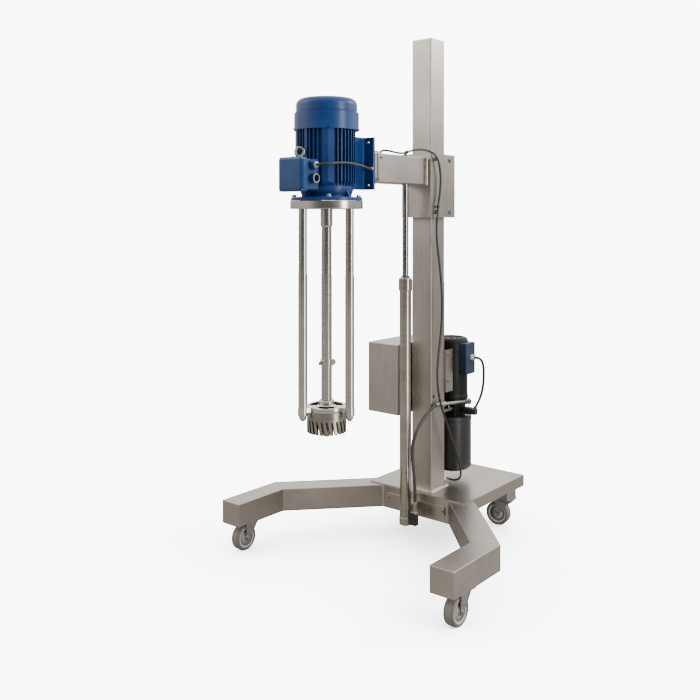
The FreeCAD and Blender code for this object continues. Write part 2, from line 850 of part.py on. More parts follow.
def make_cowl():
    """The fan's hood, with a groove round its step and a ring of air slots in its end."""
    groove = tube(hood_radius + 5, hood_radius - 0.8, 1.6, V(0, -motor_reach, cowl_step + 2.5))
    slots = []
    for i in range(vent_count):
        slot = block(vent_inner, vent_outer, -vent_width / 2, vent_width / 2, hood_top - 10, hood_top + 10)
        slot.rotate(V(0, 0, 0), V(0, 0, 1), 360.0 / vent_count * i)
        slot.translate(V(0, -motor_reach, 0))
        slots.append(slot)
    shell = hood_solid(0.0).cut(hood_solid(cowl_sheet)).cut(groove)
    save("motor_cowl", shell.cut(Part.makeCompound(slots)))


def make_motor_inside():
    """Laminated core with its winding heads, and the two bearings."""
    y = -motor_reach
    core = tube(barrel_bore, core_bore, core_length, V(0, y, core_bottom))
    heads = [tube(barrel_bore - 6, core_bore + 4, winding_head, V(0, y, z))
             for z in (core_bottom - winding_head, core_bottom + core_length)]
    bore = shaft_radius_motor + running_gap
    lower = tube(shaft_radius_motor + lower_bearing_depth, bore, 24, V(0, y, bell_flange_top + 3))
    upper = tube(shaft_radius_motor + upper_bearing_depth, bore, 18, V(0, y, cowl_bottom - 20))
    save("motor_core", core, heads[0], heads[1], lower, upper)


def make_terminal_box():
    back = -motor_reach - box_body_back_reach
    lid_back = -motor_reach - box_front_reach + box_lid_depth
    w = box_lid_half_width
    i = box_body_inset
    z0 = box_lid_bottom
    z1 = z0 + box_lid_height
    body = rounded_block(-w + i, w - i, lid_back, back, z0 + i, z1 - i, 7.0, "y")
    hollow = block(-w + i + 5, w - i - 5, lid_back, back - 6, z0 + i + 5, z1 - i - 5)
    body = body.cut(hollow)
    y = -motor_reach - gland_y_offset
    along = V(1, 0, 0)
    start = w - i - 2
    for z, bore, depth in ((gland_height, cable_diameter / 2 + 0.02, 40.0),
                           (gland_height - spare_gland_drop, spare_bore_radius, spare_bore_length)):
        socket = rod(gland_radius, gland_end_x - start - 4, V(start, y, z), along)
        rim = rod(gland_radius - 2, gland_end_x - start, V(start, y, z), along)
        body = body.fuse(socket).fuse(rim)
        body = body.cut(rod(bore, depth, V(gland_end_x - depth, y, z), along))
    save("terminal_box", body.removeSplitter())
    front = lid_back - box_lid_depth
    lid = rounded_block(-w, w, front, lid_back, z0, z1, box_lid_chamfer + 1, "y")
    rim = [edge for edge in lid.Edges if edge.BoundBox.YMax < front + 0.01]
    lid = lid.makeChamfer(box_lid_chamfer, rim)
    seat = i + 3
    lid = lid.cut(block(-w + seat, w - seat, front + box_lid_chamfer + 4, lid_back,
                        z0 + seat, z1 - seat))
    for x, z in screw_places():
        lid = lid.cut(rod(5, box_lid_depth - screw_seat + 1, V(x, front - 1, z), V(0, 1, 0)))
    save("terminal_lid", lid)


def screw_places():
    x = box_lid_half_width - screw_inset
    low = box_lid_bottom + screw_inset
    high = box_lid_bottom + box_lid_height - screw_inset
    return [(-x, low), (-x, high), (x, low), (x, high)]


def box_screws():
    """Four lid screws at the floor of the lid's corner pockets."""
    seat = -motor_reach - box_front_reach + box_lid_depth - screw_seat
    return [rod(4.5, 5, V(x, seat - 5, z), V(0, 1, 0)) for x, z in screw_places()]


def eye_bolt():
    """A lifting eye that stands on the terminal box."""
    x = -12.0
    y = -motor_reach - box_body_back_reach - 32
    z = box_lid_bottom + box_lid_height - box_body_inset
    ring = Part.makeTorus(eye_ring, eye_section, V(x, y, z + eye_rise), V(0.75, -0.65, 0))
    collar = rod(2 * eye_section, 4, V(x, y, z))
    neck = rod(eye_section + 1, eye_rise - eye_ring, V(x, y, z))
    return merged([collar, neck, ring])


# Mixing head

def polar(radius, angle):
    turn = math.radians(angle)
    return radius * math.cos(turn), -motor_reach + radius * math.sin(turn)


def make_support_plate():
    z0 = support_plate_bottom
    z1 = support_plate_top
    r = support_plate_radius
    plate = turned([(support_plate_bore, z0), (r - 2, z0), (r, z0 + 2), (r, z1 - 2), (r - 2, z1),
                    (support_plate_bore, z1)], 0, -motor_reach)
    save("support_plate", plate)


def make_rods():
    rods = []
    for angle in rod_angles:
        x, y = polar(rod_circle, angle)
        shaft = rod(rod_radius, support_plate_bottom - ring_top, V(x, y, ring_top))
        stud = rod(8, ear_height + 14, V(x, y, ring_top - ear_height - 14))
        nut = turned([(0, ring_top - ear_height - 24), (7, ring_top - ear_height - 22),
                      (14, ring_top - ear_height - 12), (16, ring_top - ear_height),
                      (0, ring_top - ear_height)], x, y)
        rods.append(merged([shaft, stud, nut]))
    save("support_rods", *rods)


def make_head_ring():
    z1 = ring_top
    z0 = ring_top - ring_thickness
    y = -motor_reach
    skirt = stator_radius - 4
    ring = turned([(0, z0), (skirt, z0), (skirt, stator_top), (ring_radius - 2, stator_top),
                   (ring_radius, z0), (ring_radius, z1 - 1.5), (ring_radius - 1.5, z1),
                   (hub_radius + 2, z1), (hub_radius, z1 + 3), (hub_radius, z1 + hub_rise - 3),
                   (hub_radius - 3, z1 + hub_rise), (0, z1 + hub_rise)], 0, y)
    parts = [ring]
    for angle in rod_angles:
        x, ear_y = polar(rod_circle, angle)
        ear = rod(ear_radius, ear_height, V(x, ear_y, z1 - ear_height))
        web = block(ring_radius - 6, rod_circle, -ear_radius + 3, ear_radius - 3, stator_top, z1)
        web.rotate(V(0, 0, 0), V(0, 0, 1), angle)
        web.translate(V(0, y, 0))
        parts.append(ear)
        parts.append(web)
    body = merged(parts)
    for angle in rod_angles:
        x, ear_y = polar(rod_circle, angle)
        body = body.cut(rod(8, ear_height + 2, V(x, ear_y, z1 - ear_height - 1)))
        body = body.cut(kidney(angle + 60.0))
    body = body.cut(rod(bush_radius, 80, V(0, y, z0 - 5)))
    bush = tube(bush_radius, shaft_radius + running_gap, ring_thickness + hub_rise - 2, V(0, y, z0 + 1))
    save("head_ring", body, bush)


def kidney(angle):
    """A curved opening in the ring between its hub and its rim."""
    inner = hub_radius + 6
    outer = ring_radius - 14
    spread = 38.0
    y = -motor_reach
    sector = tube(outer, inner, ring_thickness + 10, V(0, y, ring_top - ring_thickness - 5))
    corners = [V(0, 0, 0)]
    for turn in (-spread, 0.0, spread):
        swing = math.radians(turn)
        corners.append(V(120 * math.cos(swing), 120 * math.sin(swing), 0))
    wedge = Part.Face(Part.makePolygon(corners + corners[:1])).extrude(V(0, 0, 60))
    wedge.rotate(V(0, 0, 0), V(0, 0, 1), angle)
    wedge.translate(V(0, y, ring_top - 40))
    return sector.common(wedge)


def make_stator():
    """A ring with leaning slots cut up from its lower edge."""
    y = -motor_reach
    inner = stator_radius - stator_wall
    body = turned([(inner, stator_bottom), (stator_radius - 1.5, stator_bottom),
                   (stator_radius, stator_bottom + 1.5), (stator_radius, stator_top - 1),
                   (stator_radius - 4.2, stator_top - 1), (stator_radius - 4.2, ring_top - ring_thickness),
                   (inner, ring_top - ring_thickness)], 0, y)
    height = slot_top - stator_bottom
    for i in range(slot_count):
        cutter = block(inner - 6, stator_radius + 6, -slot_width / 2, slot_width / 2, -12, height)
        cutter = cutter.fuse(rod(slot_width / 2, stator_wall + 12, V(inner - 6, 0, height), V(1, 0, 0)))
        cutter.rotate(V(stator_radius, 0, height / 2), V(1, 0, 0), slot_lean)
        cutter.rotate(V(0, 0, 0), V(0, 0, 1), 360.0 / slot_count * i)
        cutter.translate(V(0, y, stator_bottom))
        body = body.cut(cutter)
    save("stator", body)


def make_rotor():
    """A slotted rotor with swept teeth, its hub and its end nut."""
    y = -motor_reach
    reach = stator_radius - stator_wall - rotor_gap
    low = stator_bottom + 4
    disc_z = slot_top - 14
    hub = turned([(shaft_radius - 6, low), (27, low), (29, low + 3), (29, disc_z), (reach, disc_z),
                  (reach, disc_z + 6), (30, disc_z + 12), (shaft_radius - 6, disc_z + 12)], 0, y)
    parts = [hub]
    for i in range(rotor_blade_count * 2):
        tooth = block(reach - 14, reach, -4.5, 4.5, low, disc_z + 2)
        tooth.rotate(V(0, 0, 0), V(0, 0, 1), 360.0 / (rotor_blade_count * 2) * i)
        tooth.translate(V(0, y, 0))
        parts.append(tooth.common(rod(reach, 200, V(0, y, low - 20))))
    for i in range(rotor_blade_count):
        vane = block(26, reach - 10, -3, 3, low + 6, disc_z + 2)
        vane.rotate(V(0, 0, 0), V(0, 0, 1), 360.0 / rotor_blade_count * i)
        vane.translate(V(0, y, 0))
        parts.append(vane)
    nut = turned([(0, shaft_tip), (9, shaft_tip), (13, shaft_tip + 4), (13.5, low), (0, low)], 0, y)
    save("rotor", merged(parts), nut)


def make_shafts():
    y = -motor_reach
    low = stator_bottom + 4
    spigot = shaft_radius - 6
    top = shaft_sleeve_bottom + 60
    step = slot_top - 2
    shaft = turned([(0, low), (spigot, low), (spigot, step), (shaft_radius, step),
                    (shaft_radius, shaft_sleeve_bottom), (spigot, shaft_sleeve_bottom), (spigot, top),
                    (0, top)], 0, y)
    sleeve_top = support_plate_top - 2
    r = shaft_radius_motor
    s = shaft_sleeve_radius
    rotor_low = core_bottom + 4
    rotor_high = core_bottom + core_length - 4
    end = cowl_bottom + 56
    motor_shaft = turned([(0, top), (spigot, top), (spigot, shaft_sleeve_bottom),
                          (shaft_radius + 1, shaft_sleeve_bottom), (s, shaft_sleeve_bottom + 7),
                          (s, sleeve_top), (r, sleeve_top), (r, rotor_low),
                          (core_bore - air_gap, rotor_low), (core_bore - air_gap, rotor_high),
                          (r, rotor_high), (r, end), (0, end)], 0, y)
    save("mixer_shaft", shaft, motor_shaft)
    hub_low = cowl_bottom + 22
    fan = turned([(r, hub_low), (30, hub_low), (30, hub_low + 4), (fan_radius, hub_low + 4),
                  (fan_radius, hub_low + 7), (30, hub_low + 10), (28, hub_low + 28),
                  (r, hub_low + 28)], 0, y)
    blades = [fan]
    for i in range(fan_blade_count):
        blade = block(32, fan_radius - 2, -1.5, 1.5, hub_low + 5, hub_low + 30)
        blade.rotate(V(0, 0, 0), V(0, 0, 1), 360.0 / fan_blade_count * i)
        blade.translate(V(0, y, 0))
        blades.append(blade)
    save("motor_fan", merged(blades))


def make_propeller():
    """A clamped hub with three small pitched blades."""
    y = -motor_reach
    hub_r = shaft_radius + 4
    z0 = propeller_height - 10
    hub = turned([(shaft_radius, z0), (hub_r, z0), (hub_r, z0 + 20), (shaft_radius, z0 + 20)])
    parts = [hub]
    for i in range(3):
        length = propeller_reach - hub_r + 2
        blade = rod(length, 3.0, V(0, 0, -1.5))
        blade = blade.common(block(0, length, -length, length, -3, 3))
        blade.rotate(V(0, 0, 0), V(1, 0, 0), 42)
        blade.translate(V(hub_r - 2, 0, z0 + 10))
        blade.rotate(V(0, 0, 0), V(0, 0, 1), 120 * i + 20)
        parts.append(blade)
    body = merged(parts).cut(rod(shaft_radius, 60, V(0, 0, z0 - 20)))
    body.translate(V(0, y, 0))
    save("propeller", body)


# Hydraulic cylinder

def make_cylinder():
    y = -cylinder_reach
    r = cylinder_radius
    bore = r - cylinder_wall
    save("cylinder_barrel", tube(r, bore, cylinder_head_bottom - cylinder_bottom, V(0, y, cylinder_bottom)))
    h = cylinder_head_radius
    z0 = cylinder_head_bottom
    z1 = cylinder_head_top
    rod_bore = piston_rod_radius + running_gap
    head = turned([(rod_bore, z0), (r + 1, z0), (h, z0 + 6), (h, z1 - 8), (h - 3, z1 - 3),
                   (h - 9, z1), (rod_bore, z1)], 0, y)
    c = cylinder_cap_radius
    low = cylinder_cap_bottom
    base = turned([(0, low), (c - 3, low), (c, low + 3), (c, cylinder_bottom - 2),
                   (c - 2, cylinder_bottom), (0, cylinder_bottom)], 0, y)
    save("cylinder_caps", head, base)
    bottom = arm_bottom - piston_depth
    piston = turned([(0, bottom), (bore - running_gap, bottom), (bore - running_gap, bottom + 40),
                     (piston_rod_radius, bottom + 40), (piston_rod_radius, arm_bottom), (0, arm_bottom)],
                    0, y)
    save("piston_rod", piston)


def make_cylinder_bracket():
    """A flat bar bolted to the beam's front, with a lug that seats the barrel."""
    face = -beam_front_reach
    half = bracket_half_width
    low = bracket_bottom
    high = low + bracket_height
    bar = rounded_block(-half, half, face - bracket_sheet, face, low, high, 3.0, "y")
    lug = block(-19, 19, -cylinder_reach, face - bracket_sheet, low + 4, high - 4)
    lug = lug.cut(rod(cylinder_radius, 100, V(0, -cylinder_reach, 140)))
    save("cylinder_bracket", merged([bar, lug]))


def bracket_bolts():
    face = -beam_front_reach - bracket_sheet
    z = bracket_bottom + bracket_height / 2
    x = bracket_half_width - 12
    return [bolt(13, 7, V(side * x, face, z), V(0, -1, 0)) for side in (-1, 1)]


def make_hose_coupling():
    y = -cylinder_reach
    elbow = rounded_block(0, hose_x + 11, y - 12, y + 12, cylinder_cap_bottom + 8, elbow_top, 5.0)
    elbow = elbow.cut(rod(cylinder_cap_radius, 34, V(0, y, cylinder_cap_bottom)))
    elbow = elbow.cut(rod(cylinder_radius, 60, V(0, y, cylinder_bottom)))
    ferrule = turned([(0, elbow_top), (10.5, elbow_top), (10.5, elbow_top + 16), (9.3, elbow_top + 18),
                      (9.3, hose_start_z - 2), (8.5, hose_start_z), (0, hose_start_z)], hose_x, y)
    save("hose_coupling", elbow, ferrule)


def make_pressure_pipe():
    """Steel pipe from the hose's end to the manifold, with its nuts."""
    a = V(*pipe_start)
    b = V(*pipe_end)
    run = b - a
    length = run.Length
    run.normalize()
    pipe = rod(pipe_radius, length, a, run)
    nut = rod(pipe_radius + 2.5, 30, a, run)
    collar = hexagon(23, 14, a + run * 30, run)
    end = rod(pipe_radius + 4.5, 30, b - run * 24, run)
    elbow = rod(11, pipe_end[0] - manifold_half, V(manifold_half, b.y, b.z), V(1, 0, 0))
    cap = hexagon(22, 8, V(pipe_end[0] + pipe_radius + 2, b.y - 4, b.z), V(1, 0, 0))
    save("pressure_pipe", merged([pipe, nut, collar, end, elbow, cap]))


# Power pack

def make_power_pack():
    y = pack_reach
    t = tank_radius
    tank = turned([(0, tank_bottom), (t - 26, tank_bottom), (t - 10, tank_bottom + 6),
                   (t - 3, tank_bottom + 16), (t, tank_bottom + 32), (t, tank_top - 16),
                   (t + 2, tank_top - 14),
                   (t + 2, tank_top), (0, tank_top)], 0, y)
    hollow = rod(t - 4, tank_top - tank_bottom - 44, V(0, y, tank_bottom + 36))
    save("pack_tank", tank.cut(hollow))
    m = manifold_half
    body = rounded_block(-m, m, y - m, y + m, tank_top, manifold_top, 5.0)
    filler = rod(11, 16, V(-72, y, tank_top)).fuse(hexagon(19, 10, V(-72, y, tank_top + 16)))
    outlet = rod(8, 10, V(0, y + m - 1, tank_top + 30), V(0, 1, 0))
    save("pack_manifold", merged([body, outlet]), filler.removeSplitter())
    r = pack_motor_radius
    z0 = manifold_top
    z1 = pack_motor_top
    motor = turned([(0, z0), (pack_flange_radius, z0), (pack_flange_radius, z0 + 14), (r, z0 + 22),
                    (r, z1 - 62), (r + 3, z1 - 60), (r + 3, z1 - 16), (r - 2, z1 - 5), (r - 12, z1),
                    (r - 30, z1), (r - 32, z1 - 3), (14, z1 - 3), (12, z1), (0, z1)], 0, y)
    slots = []
    for i in range(12):
        slot = block(24, r - 20, -3, 3, z1 - 8, z1 + 2)
        slot.rotate(V(0, 0, 0), V(0, 0, 1), 30 * i)
        slot.translate(V(0, y, 0))
        slots.append(slot)
    save("pack_motor", motor.cut(Part.makeCompound(slots)))
    x = pack_box_front_x
    low = pack_box_bottom
    high = low + pack_box_height
    box = rounded_block(r - 16, x, y - 40, y + 40, low, high, 6.0, "x")
    box = box.cut(rod(r, 400, V(0, y, z0)))
    box = box.cut(rod(r + 3, 400, V(0, y, z1 - 62)))
    seam = block(x - 12, x - 10.5, y - 60, y + 60, low - 5, high + 5)
    seam = seam.cut(rounded_block(x - 13, x - 9, y - 38.5, y + 38.5, low + 1.5, high - 1.5, 5.0, "x"))
    save("pack_terminal_box", box.cut(seam))


def make_solenoid():
    """Coil on the manifold's side, with its plug-on connector."""
    x = manifold_half
    y = pack_reach + solenoid_offset
    z = solenoid_z
    stem = rod(11, 12, V(x, y, z), V(1, 0, 0))
    coil = rounded_block(x + 10, x + 46, y - 16, y + 16, z - 16, z + 16, 4.0, "x")
    plug = rounded_block(x + 46, x + 74, y - 14, y + 14, z - 13, z + 13, 3.0, "x")
    out = V(0, 17, 13.5)
    out.normalize()
    end = V(*pack_cable_route[-1])
    socket = rod(8, 20, end - out * 20, out)
    save("solenoid_valve", merged([stem, coil, plug, socket]))


def make_pack_bracket():
    """Stainless angle plates from the column's rear to both sides of the pack motor."""
    y0 = column_rear_y
    x = cheek_x
    z0 = cheek_bottom
    z1 = cheek_top
    back = block(-x, x, y0, y0 + 6, z0, z1)
    cheek = block(x - cheek_sheet, x, y0, y0 + cheek_depth, z0, z1)
    cheek = cheek.cut(rod(pack_motor_radius, 400, V(0, pack_reach, z0 - 50)))
    shelf = block(-shelf_half_width, shelf_half_width, y0, pack_reach - manifold_half,
                  shelf_top - shelf_sheet, shelf_top)
    foot = block(-shelf_half_width, shelf_half_width, y0, y0 + 6, shelf_top - shelf_sheet, z0)
    body = merged([back, cheek, mirrored_x(cheek), shelf, foot])
    save("pack_bracket", body)


def pack_bolts():
    bolts = []
    for z in (cheek_bottom + 52, cheek_top - 20):
        bolts.append(bolt(13, 7, V(cheek_x, column_rear_y + 20, z), V(1, 0, 0)))
    for x in (-24, 24):
        bolts.append(bolt(10, 5, V(x, pack_reach - manifold_half - 14, shelf_top), V(0, 0, 1)))
    return bolts


def make_base_glands():
    """Cable glands on the column's rear and on the pack's terminal box."""
    start = V(column_gland_x, column_rear_y, column_gland_z)
    along = V(0, 1, 0)
    nut = hexagon(24, 9, start, along)
    dome = rod(10.5, column_gland_length, start, along)
    gland = merged([nut, dome]).cut(rod(cable_diameter / 2 + 0.02, 60, start, along))
    start = V(pack_box_front_x, pack_gland_y, pack_gland_z)
    along = V(1, 0, 0)
    nut = hexagon(25, 9, start, along)
    dome = rod(10.5, pack_gland_length, start, along)
    bore = rod(cable_diameter / 2 + 0.02, 60, start, along)
    save("base_glands", gland, merged([nut, dome]).cut(bore))


# Control enclosure

def enclosure_box():
    """Left and right faces, in X, of the enclosure without its door."""
    right = -column_side_x - enclosure_gap
    return right - enclosure_depth, right


def hinge_knuckle(low, high, radius, bore):
    left = enclosure_box()[0]
    x = left - enclosure_door / 2
    y = enclosure_half_length + hinge_radius + 0.5
    knuckle = rod(radius, high - low, V(x, y, low))
    return knuckle.cut(rod(bore, high - low, V(x, y, low))) if bore else knuckle


def hinge_on_body(low):
    """A strap from the enclosure's side to its knuckle, with the pin standing in it."""
    left = enclosure_box()[0]
    y = enclosure_half_length
    strap = block(left - enclosure_door / 2, left + 20, y + slide_gap, y + 3.5, low, low + hinge_height)
    seat = block(left + 2, left + 20, y, y + 3.5, low, low + hinge_height)
    pin = hinge_knuckle(low, low + 2 * hinge_height, hinge_pin_radius, 0)
    return [strap, seat, hinge_knuckle(low, low + hinge_height, hinge_radius, 0), pin]


def hinge_on_door(low):
    left = enclosure_box()[0]
    y = enclosure_half_length
    low = low + hinge_height + slide_gap
    high = low + hinge_height - slide_gap
    bore = hinge_pin_radius + running_gap
    strap = block(left - enclosure_door, left - enclosure_door / 2, y - 1, y + 3.5, low, high)
    strap = strap.cut(hinge_knuckle(low - 1, high + 1, bore, 0))
    return [strap, hinge_knuckle(low, high, hinge_radius, bore)]


def make_enclosure():
    left, right = enclosure_box()
    half = enclosure_half_length
    z0 = enclosure_bottom
    z1 = z0 + enclosure_height
    t = enclosure_sheet
    shell = rounded_block(left, right, -half, half, z0, z1, 3.0, "x")
    shell = shell.cut(block(left, right - t, -half + t, half - t, z0 + t, z1 - t))
    hinge_places = (z0 + hinge_inset, z1 - hinge_inset - 2 * hinge_height)
    pieces = [shell]
    for low in hinge_places:
        pieces.extend(hinge_on_body(low))
    save("enclosure_body", merged(pieces))
    rails = []
    for z in (z0 + hinge_inset, z1 - hinge_inset - rail_height):
        rails.append(block(right, -column_side_x, -column_rear_y + 12, column_rear_y - 12,
                           z, z + rail_height))
    save("enclosure_rails", *rails)
    outer = rounded_block(left - enclosure_door, left - slide_gap, -half, half, z0, z1, 3.0, "x")
    rim = [edge for edge in outer.Edges if edge.BoundBox.XMax < left - enclosure_door + 0.01]
    outer = outer.makeFillet(2.0, rim)
    hollow = block(left - enclosure_door + t, left, -half + t, half - t, z0 + t, z1 - t)
    door = outer.cut(hollow)
    for y, z in control_places():
        door = door.cut(rod(button_radius + 1, 30, V(left - enclosure_door - 5, y, z), V(1, 0, 0)))
    latch_y = -half + latch_inset
    latch_z = (z0 + z1) / 2
    latch = rod(9, 5, V(left - enclosure_door, latch_y, latch_z), V(-1, 0, 0))
    latch = latch.cut(block(left - enclosure_door - 6, left - enclosure_door - 2, latch_y - 1.5,
                            latch_y + 1.5, latch_z - 7, latch_z + 7))
    pieces = [door, latch]
    for low in hinge_places:
        pieces.extend(hinge_on_door(low))
    save("enclosure_door", merged(pieces))
    drive = rounded_block(right - t - 92, right - t, -62, 62, z0 + 80, z0 + 250, 4.0, "x")
    for i in range(9):
        drive = drive.cut(block(right - t - 60, right - t - 8, -40 + 9 * i, -36 + 9 * i,
                                z0 + 240, z0 + 251))
    save("drive_unit", drive)


def control_places():
    """Main switch, start, stop and lift selector, down the door's middle."""
    z = enclosure_bottom + enclosure_height / 2
    half = button_column / 2
    high = z + button_rise
    low = high - button_spacing
    return [(half, high), (half, low), (-half, low), (-half, high)]


def make_controls():
    left, right = enclosure_box()
    face = left - enclosure_door
    out = V(-1, 0, 0)
    names = ["main_switch", "start_button", "stop_button", "lift_selector"]
    for name, (y, z) in zip(names, control_places()):
        stem = rod(button_radius - 2, 16, V(face + 12, y, z), out)
        if name.endswith("button"):
            cap = rod(button_radius, 8, V(face + 2, y, z), out)
            solid = merged([stem, cap])
        else:
            wider = main_dial_extra if name == "main_switch" else lift_dial_extra
            dial = rod(button_radius + wider, 6, V(face - slide_gap, y, z), out)
            width = 5.0
            reach = button_radius + wider - 1
            grip = rounded_block(face - 20, face - 5, y - width, y + width, z - reach, z + reach,
                                 4.0, "x")
            solid = merged([stem, dial, grip])
        save(name, solid)


# Cables, whose routes start and end in their fittings

hose_route = [(hose_x, -cylinder_reach, hose_start_z), (hose_x, -cylinder_reach, hose_start_z + 36),
              (53, -188.5, 306), (49, -189.5, 352), (44, -191, 400), (41, -191.5, 446),
              (43, -190, 490), (50, -183, 530), (57, -163, 566), (61, -132, 596), (65, -98, 621),
              (68, -66, 640), (69, -37.9, 647.7), pipe_start]
motor_cable_route = [(gland_end_x, motor_gland_y, gland_height), (100, -894, 1736),
                     (120, -881, 1738), (134, -856, 1741), (143, -822, 1743.5), (147, -784, 1744),
                     (148, -744, 1742), (146, -704, 1738.5),
                     (141, -668, 1735), (127, -634, 1730),
                     (127, foot_plane_y - foot_thickness, 1730)]
arm_cable_route = [(arm_exit_x, arm_exit_y, arm_top), (39, -428, 1817), (44, -410, 1823), (52, -384, 1822),
                   (59, -352, 1817), (63, -318, 1814), (64, -286, 1817), (66, -252, 1826),
                   (70, -214, 1835), (77, -172, 1840), (84, -132, 1838), (91, -98, 1829),
                   (97, -72, 1810), (98.5, -56, 1780), (98.5, -46, 1742), (98, -42, 1702),
                   (97, -44, 1662), (96, -50, 1624), (95.5, -59, 1592), (96.5, -64, 1566)]
drop_cable_route = [(96.5, -64, 1566), (97.5, -69, 1540), (95.5, -74, 1494), (91, -66, 1428),
                    (88.5, -49, 1362), (87, -32, 1290), (86, -18, 1210), (85, -10, 1126),
                    (84, -12, 1040), (83, -24, 954), (82.5, -40, 872), (83, -50, 796),
                    (85, -47, 726), (88, -30, 660), (91, -2, 594), (94, 32, 524),
                    (99, 68, 450), (103, 98, 382), (105, 118, 326), (103, 128, 286),
                    (90, 128, 262), (66, 122, 255), (46, 112, 260),
                    (column_gland_x, column_gland_end_y + 10.55, column_gland_z),
                    (column_gland_x, column_gland_end_y, column_gland_z)]
pack_cable_route = [(pack_box_front_x + pack_gland_length, pack_gland_y, pack_gland_z), (137, 219, 843),
                    (143, 236, 838), (141, 262, 821), (133, 288, 791), (124, 306, 747),
                    (118, 312, 700), (115, 303, 658),
                    (113, 283, 626), (112, 263, 606.5), (112, 246, 593)]


def cable_clamps():
    """Clip on the arm's upper edge, clip at the carriage's foot and gland on the motor's foot."""
    along = V(2, 34, 9)
    along.normalize()
    centre = V(arm_half_width + 5, -269, arm_top + 14.5)
    half = clip_length / 2
    clip = rod(cable_diameter / 2 + clip_wall, clip_length, centre - along * half, along)
    clip = clip.fuse(block(arm_half_width - 6, arm_half_width + 2, centre.y - half, centre.y + half,
                           arm_top, centre.z))
    clip = clip.cut(rod(cable_diameter / 2 + slide_gap, 60, centre - along * 30, along))
    along = V(1, -5, -26)
    along.normalize()
    centre = V(carriage_half_width + 13.3, -61.5, carriage_bottom + 50.8)
    lower = rod(cable_diameter / 2 + clip_wall, clip_length, centre - along * half, along)
    lower = lower.fuse(block(carriage_half_width, centre.x, centre.y - half, centre.y + half,
                             centre.z - clip_wall, centre.z + clip_wall))
    lower = lower.cut(rod(cable_diameter / 2 + slide_gap, 60, centre - along * 30, along))
    x, y, z = motor_cable_route[-1]
    gland = tube(cable_diameter / 2 + 4, cable_diameter / 2 + running_gap, 8, V(x, y - 8, z), V(0, 1, 0))
    return [clip.removeSplitter(), lower.removeSplitter(), gland]


def make_fasteners():
    base = bracket_bolts() + pack_bolts()
    spread_x = caster_plate_width / 2 - 11
    spread_y = caster_plate_length / 2 - 11
    for name, x, y, heading in caster_places():
        for sx in (-1, 1):
            for sy in (-1, 1):
                turn = math.radians(heading + 90)
                dx = sx * spread_x
                dy = sy * spread_y
                place = V(x + dx * math.cos(turn) - dy * math.sin(turn),
                          y + dx * math.sin(turn) + dy * math.cos(turn),
                          caster_height - caster_plate_sheet)
                base.append(hexagon(13, 5.5, place, V(0, 0, -1)))
    save("base_fasteners", *base)
    save("carriage_fasteners", *(carriage_bolts() + motor_flange_bolts() + box_screws()
                                 + [eye_bolt()] + cable_clamps()))


def make_cords():
    save("hydraulic_hose", cord(hose_route, hose_diameter))
    save("motor_cable", cord(motor_cable_route, cable_diameter))
    save("arm_cable", cord(arm_cable_route, cable_diameter))
    save("drop_cable", cord(drop_cable_route, cable_diameter))
    save("pack_cable", cord(pack_cable_route, cable_diameter))


make_legs()
make_platform()
make_column()
make_casters()
make_carriage()
make_arm()
make_motor_frame()
make_motor_bell()
make_cowl()
make_motor_inside()
make_terminal_box()
make_support_plate()
make_rods()
make_head_ring()
make_stator()
make_rotor()
make_shafts()
make_propeller()
make_cylinder()
make_cylinder_bracket()
make_hose_coupling()
make_pressure_pipe()
make_power_pack()
make_solenoid()
make_pack_bracket()
make_base_glands()
make_enclosure()
make_controls()
make_fasteners()
make_cords()
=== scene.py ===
import math
import bmesh
import bpy
import numpy as np
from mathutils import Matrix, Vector


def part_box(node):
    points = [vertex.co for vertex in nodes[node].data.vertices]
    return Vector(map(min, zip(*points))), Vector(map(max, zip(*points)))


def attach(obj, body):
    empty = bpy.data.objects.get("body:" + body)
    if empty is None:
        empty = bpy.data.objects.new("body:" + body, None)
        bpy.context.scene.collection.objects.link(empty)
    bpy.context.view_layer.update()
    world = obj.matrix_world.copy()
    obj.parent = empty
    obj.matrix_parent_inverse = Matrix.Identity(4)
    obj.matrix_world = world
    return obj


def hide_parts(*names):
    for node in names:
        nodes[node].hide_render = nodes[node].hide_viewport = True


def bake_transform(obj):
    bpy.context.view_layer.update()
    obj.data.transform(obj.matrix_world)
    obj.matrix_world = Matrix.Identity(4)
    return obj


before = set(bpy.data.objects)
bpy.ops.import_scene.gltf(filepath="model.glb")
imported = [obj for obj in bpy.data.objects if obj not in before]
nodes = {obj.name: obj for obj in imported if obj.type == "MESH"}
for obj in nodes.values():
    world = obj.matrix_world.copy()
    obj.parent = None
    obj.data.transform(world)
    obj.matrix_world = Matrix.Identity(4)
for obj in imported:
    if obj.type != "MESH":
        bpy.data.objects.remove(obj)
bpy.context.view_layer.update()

columnY = 0.2587  # the column's axis in the frame; routes below are written round that axis
motorAxis = (0, -741.7, 0)  # the mixer's axis, in millimetres round the column
print("frame loaded,", len(nodes), "nodes")


def place(x, y, z):
    # millimetres round the column's axis to metres in the frame
    return (x / 1000, y / 1000 + columnY, z / 1000)


# Camera: level, at eye height, with the lens shifted down as in product photography
cameraSet = {"spot": (2.2768, -3.0958, 1.5246), "turn": 39.478, "lens": 43.354, "shiftY": -0.1881,
             "sensorMm": 36, "farEnd": 60}


def makeCamera():
    data = bpy.data.cameras.new("photoCamera")
    data.lens = cameraSet["lens"]
    data.sensor_width = cameraSet["sensorMm"]
    data.shift_y = cameraSet["shiftY"]
    data.clip_end = cameraSet["farEnd"]
    camera = bpy.data.objects.new("photoCamera", data)
    camera.location = cameraSet["spot"]
    camera.rotation_euler = (math.radians(90), 0, math.radians(cameraSet["turn"]))
    bpy.context.scene.collection.objects.link(camera)
    bpy.context.scene.camera = camera


makeCamera()


# Shapes. Each is a surface of two parameters, worked out as whole arrays in metres of the frame.

